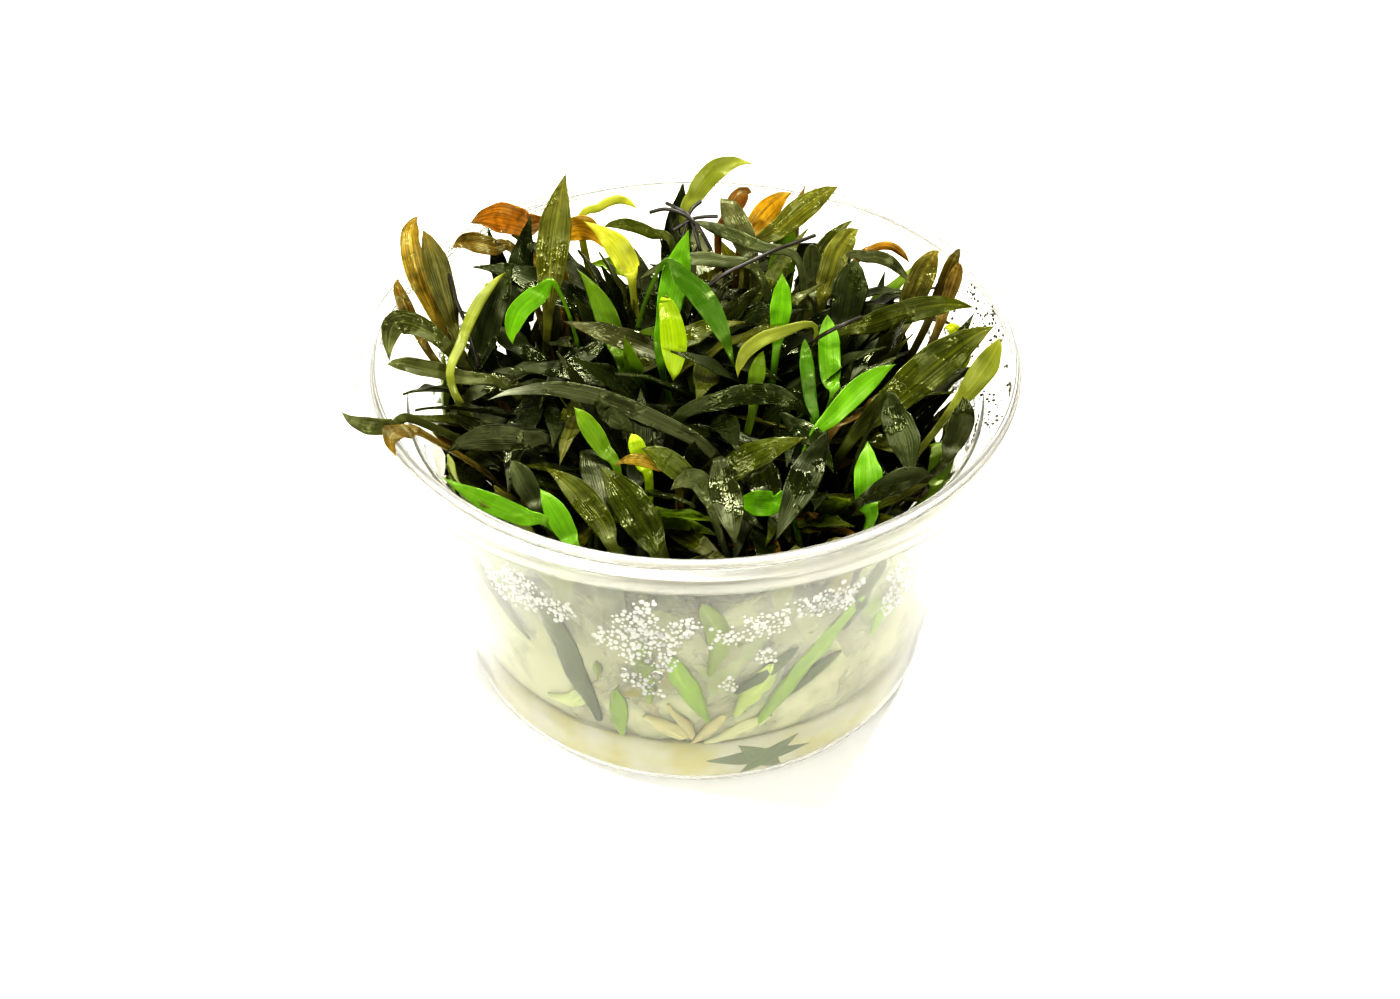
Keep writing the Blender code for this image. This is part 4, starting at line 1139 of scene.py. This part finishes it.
fog_mesh = bpy.data.meshes.new("fog_film")
outside = list(fog_points(fog_inset))
inside = list(fog_points(fog_inset + 0.04 * mm))
fog_faces = []
for row in range(fog_rows):
    for side in range(fog_around):
        a, b = row * fog_around + side, row * fog_around + (side + 1) % fog_around
        c, d = b + fog_around, a + fog_around
        fog_faces += [(a, b, c, d), tuple(i + len(outside) for i in (d, c, b, a))]
for row in (0, fog_rows):
    for side in range(fog_around):
        a, b = row * fog_around + side, row * fog_around + (side + 1) % fog_around
        ends = (a, a + len(outside), b + len(outside), b)
        fog_faces.append(ends if row == 0 else tuple(reversed(ends)))
fog_mesh.from_pydata([tuple(p) for p in outside + inside], [], fog_faces)
mist = fog_mesh.attributes.new("mist", "FLOAT", "POINT")
thick = [(1 - smooth(38 * mm, 47 * mm, p.z)) * (1.5 - 0.65 * smooth(14 * mm, 32 * mm, p.z)) for p in outside]
mist.data.foreach_set("value", thick * 2)
fog_mesh.shade_smooth()
fog_white, fog_nodes, fog_shader = plain_material("condensation_fog", (0.90, 0.92, 0.60), 0.6)
mist_node = fog_nodes.nodes.new("ShaderNodeAttribute")
mist_node.attribute_name = "mist"
fog_noise = linked(fog_nodes, "ShaderNodeTexNoise", Scale=110.0, Detail=4.0)
fog_nodes.links.new(fog_nodes.nodes.new("ShaderNodeTexCoord").outputs["Object"], fog_noise.inputs["Vector"])
fog_patch = stepped(fog_nodes, fog_noise.outputs[0], 0.36, 0.64, 0.5, 1.3)
fog_amount = arithmetic(fog_nodes, "MULTIPLY", mist_node.outputs["Fac"], 0.27)
fog_amount = arithmetic(fog_nodes, "MULTIPLY", fog_amount, fog_patch)
fog_nodes.links.new(fog_amount, fog_shader.inputs["Alpha"])
fog = grown_piece("fog_film", fog_mesh, fog_white)
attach(fog, "root")


# Droplets: beads of condensation in patches on the inside of the wall, with a few big ones among them.

drop_tree = bpy.data.node_groups.new("wall_droplets", "GeometryNodeTree")
drop_tree.is_modifier = True
group_socket(drop_tree, "Geometry", "NodeSocketGeometry")
group_socket(drop_tree, "Spacing", "NodeSocketFloat", 0.0006)
group_socket(drop_tree, "Smallest", "NodeSocketFloat", 0.0002)
group_socket(drop_tree, "Largest", "NodeSocketFloat", 0.0005)
group_socket(drop_tree, "Seed", "NodeSocketInt", 1)
group_socket(drop_tree, "Finish", "NodeSocketMaterial")
group_socket(drop_tree, "Geometry", "NodeSocketGeometry", way="OUTPUT")
drop_in = drop_tree.nodes.new("NodeGroupInput")
drop_out = drop_tree.nodes.new("NodeGroupOutput")
scatter = drop_tree.nodes.new("GeometryNodeDistributePointsOnFaces")
scatter.distribute_method = "POISSON"
wetness = drop_tree.nodes.new("GeometryNodeInputNamedAttribute")
wetness.data_type = "FLOAT"
wetness.inputs["Name"].default_value = "wet"
scatter.inputs["Density Max"].default_value = 4e6
drop_tree.links.new(drop_in.outputs["Geometry"], scatter.inputs["Mesh"])
drop_tree.links.new(drop_in.outputs["Spacing"], scatter.inputs["Distance Min"])
drop_tree.links.new(drop_in.outputs["Seed"], scatter.inputs["Seed"])
drop_tree.links.new(wetness.outputs["Attribute"], scatter.inputs["Density Factor"])
bead = drop_tree.nodes.new("GeometryNodeMeshUVSphere")
bead.inputs["Segments"].default_value = 8
bead.inputs["Rings"].default_value = 5
bead.inputs["Radius"].default_value = 1.0
chance = drop_tree.nodes.new("FunctionNodeRandomValue")
chance.data_type = "FLOAT"
drop_tree.links.new(drop_in.outputs["Seed"], chance.inputs["Seed"])
skew = drop_tree.nodes.new("ShaderNodeMath")
skew.operation = "POWER"
skew.inputs[1].default_value = 1.5
drop_tree.links.new(chance.outputs[1], skew.inputs[0])
bead_size = drop_tree.nodes.new("ShaderNodeMapRange")
drop_tree.links.new(skew.outputs[0], bead_size.inputs["Value"])
drop_tree.links.new(drop_in.outputs["Smallest"], bead_size.inputs["To Min"])
drop_tree.links.new(drop_in.outputs["Largest"], bead_size.inputs["To Max"])
bead_scale = drop_tree.nodes.new("ShaderNodeCombineXYZ")
flatten = drop_tree.nodes.new("ShaderNodeMath")
flatten.operation = "MULTIPLY"
flatten.inputs[1].default_value = 0.55
drop_tree.links.new(bead_size.outputs[0], flatten.inputs[0])
drop_tree.links.new(bead_size.outputs[0], bead_scale.inputs[0])
drop_tree.links.new(bead_size.outputs[0], bead_scale.inputs[1])
drop_tree.links.new(flatten.outputs[0], bead_scale.inputs[2])
beads = drop_tree.nodes.new("GeometryNodeInstanceOnPoints")
drop_tree.links.new(scatter.outputs["Points"], beads.inputs["Points"])
drop_tree.links.new(scatter.outputs["Rotation"], beads.inputs["Rotation"])
drop_tree.links.new(bead.outputs["Mesh"], beads.inputs["Instance"])
drop_tree.links.new(bead_scale.outputs[0], beads.inputs["Scale"])
real_beads = drop_tree.nodes.new("GeometryNodeRealizeInstances")
drop_tree.links.new(beads.outputs["Instances"], real_beads.inputs["Geometry"])
smooth_beads = drop_tree.nodes.new("GeometryNodeSetShadeSmooth")
drop_tree.links.new(real_beads.outputs["Geometry"], smooth_beads.inputs["Geometry"])
bead_finish = drop_tree.nodes.new("GeometryNodeSetMaterial")
drop_tree.links.new(smooth_beads.outputs["Geometry"], bead_finish.inputs["Geometry"])
drop_tree.links.new(drop_in.outputs["Finish"], bead_finish.inputs["Material"])
drop_tree.links.new(bead_finish.outputs["Geometry"], drop_out.inputs["Geometry"])

# Patches of droplets: degrees round from the front, height, and half of their width and height.
small_patches = (
    (-9.5, 36.0, 11.0, 8.5), (-10.5, 27.0, 5.5, 5.5), (11.0, 37.5, 9.0, 3.5), (26.0, 39.5, 8.5, 4.5),
    (-37.0, 38.0, 13.0, 5.0), (47.0, 36.0, 9.0, 8.0), (7.0, 25.0, 3.2, 2.4), (14.5, 31.0, 2.8, 2.2),
    (100.0, 43.0, 20.0, 6.0), (150.0, 42.0, 16.0, 5.0), (-120.0, 42.0, 20.0, 5.0), (-75.0, 40.0, 12.0, 5.0),
)
big_patches = ((-10.0, 28.0, 5.0, 4.0), (-7.0, 36.0, 9.0, 5.0), (24.0, 38.0, 6.0, 3.0), (-35.0, 40.0, 6.0, 2.5))


# Dark crumbs of leaf that stick to the wall at the right.
speck_patches = ((104.0, 51.6, 15.0, 4.6), (78.0, 51.2, 9.0, 4.2))


def wall_patches(name, patches):
    """Bent rectangles on the inside of the wall that are wettest in their middle."""
    points, faces, wet = [], [], []
    cells = 24
    for turn_middle, height_middle, turn_half, height_half in patches:
        start = len(points)
        for i in range(cells + 1):
            for k in range(cells + 1):
                u, v = 2 * i / cells - 1, 2 * k / cells - 1
                height = (height_middle + v * height_half) * mm
                points.append(wall_point(turn_middle + u * turn_half, height, 0.12 * mm))
                ragged = math.hypot(u, v) + 0.7 * noise.noise(points[-1] * 260)
                wet.append(1 - smooth(0.55, 0.95, ragged))
        for i in range(cells):
            for k in range(cells):
                a = start + i * (cells + 1) + k
                faces.append((a, a + 1, a + cells + 2, a + cells + 1))
    mesh = bpy.data.meshes.new(name)
    mesh.from_pydata([tuple(p) for p in points], [], faces)
    mesh.attributes.new("wet", "FLOAT", "POINT").data.foreach_set("value", wet)
    holder = bpy.data.objects.new(name, mesh)
    bpy.context.scene.collection.objects.link(holder)
    return holder


# The small beads are mostly white and only partly clear: a painted sheen that stands for the glints of clear water.
painted_sheen_dew, painted_sheen_dew_nodes, painted_sheen_dew_shader = plain_material("fine_dew_painted_sheen", (1.0, 1.0, 1.0), 0.02)
painted_sheen_dew_shader.inputs["Transmission Weight"].default_value = 0.35
painted_sheen_dew_shader.inputs["IOR"].default_value = 1.33
water, water_nodes, water_shader = plain_material("condensed_water", (1.0, 1.0, 1.0), 0.0)
water_shader.inputs["Transmission Weight"].default_value = 0.85
water_shader.inputs["IOR"].default_value = 1.33
specks, speck_nodes, speck_shader = plain_material("leaf_specks", (0.05, 0.055, 0.02), 0.5)
for name, patches, spacing, smallest, largest, finish in (
    ("small_droplets", small_patches, 0.6 * mm, 0.2 * mm, 0.5 * mm, painted_sheen_dew),
    ("big_droplets", big_patches, 2.2 * mm, 0.5 * mm, 1.1 * mm, water),
    ("wall_specks", speck_patches, 0.6 * mm, 0.07 * mm, 0.32 * mm, specks),
):
    values = {"Spacing": spacing, "Smallest": smallest, "Largest": largest, "Seed": 3, "Finish": finish}
    mesh = run_tree(wall_patches(name, patches), drop_tree, values)
    mesh.name = name
    droplets = grown_piece(name, mesh)
    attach(droplets, "root")
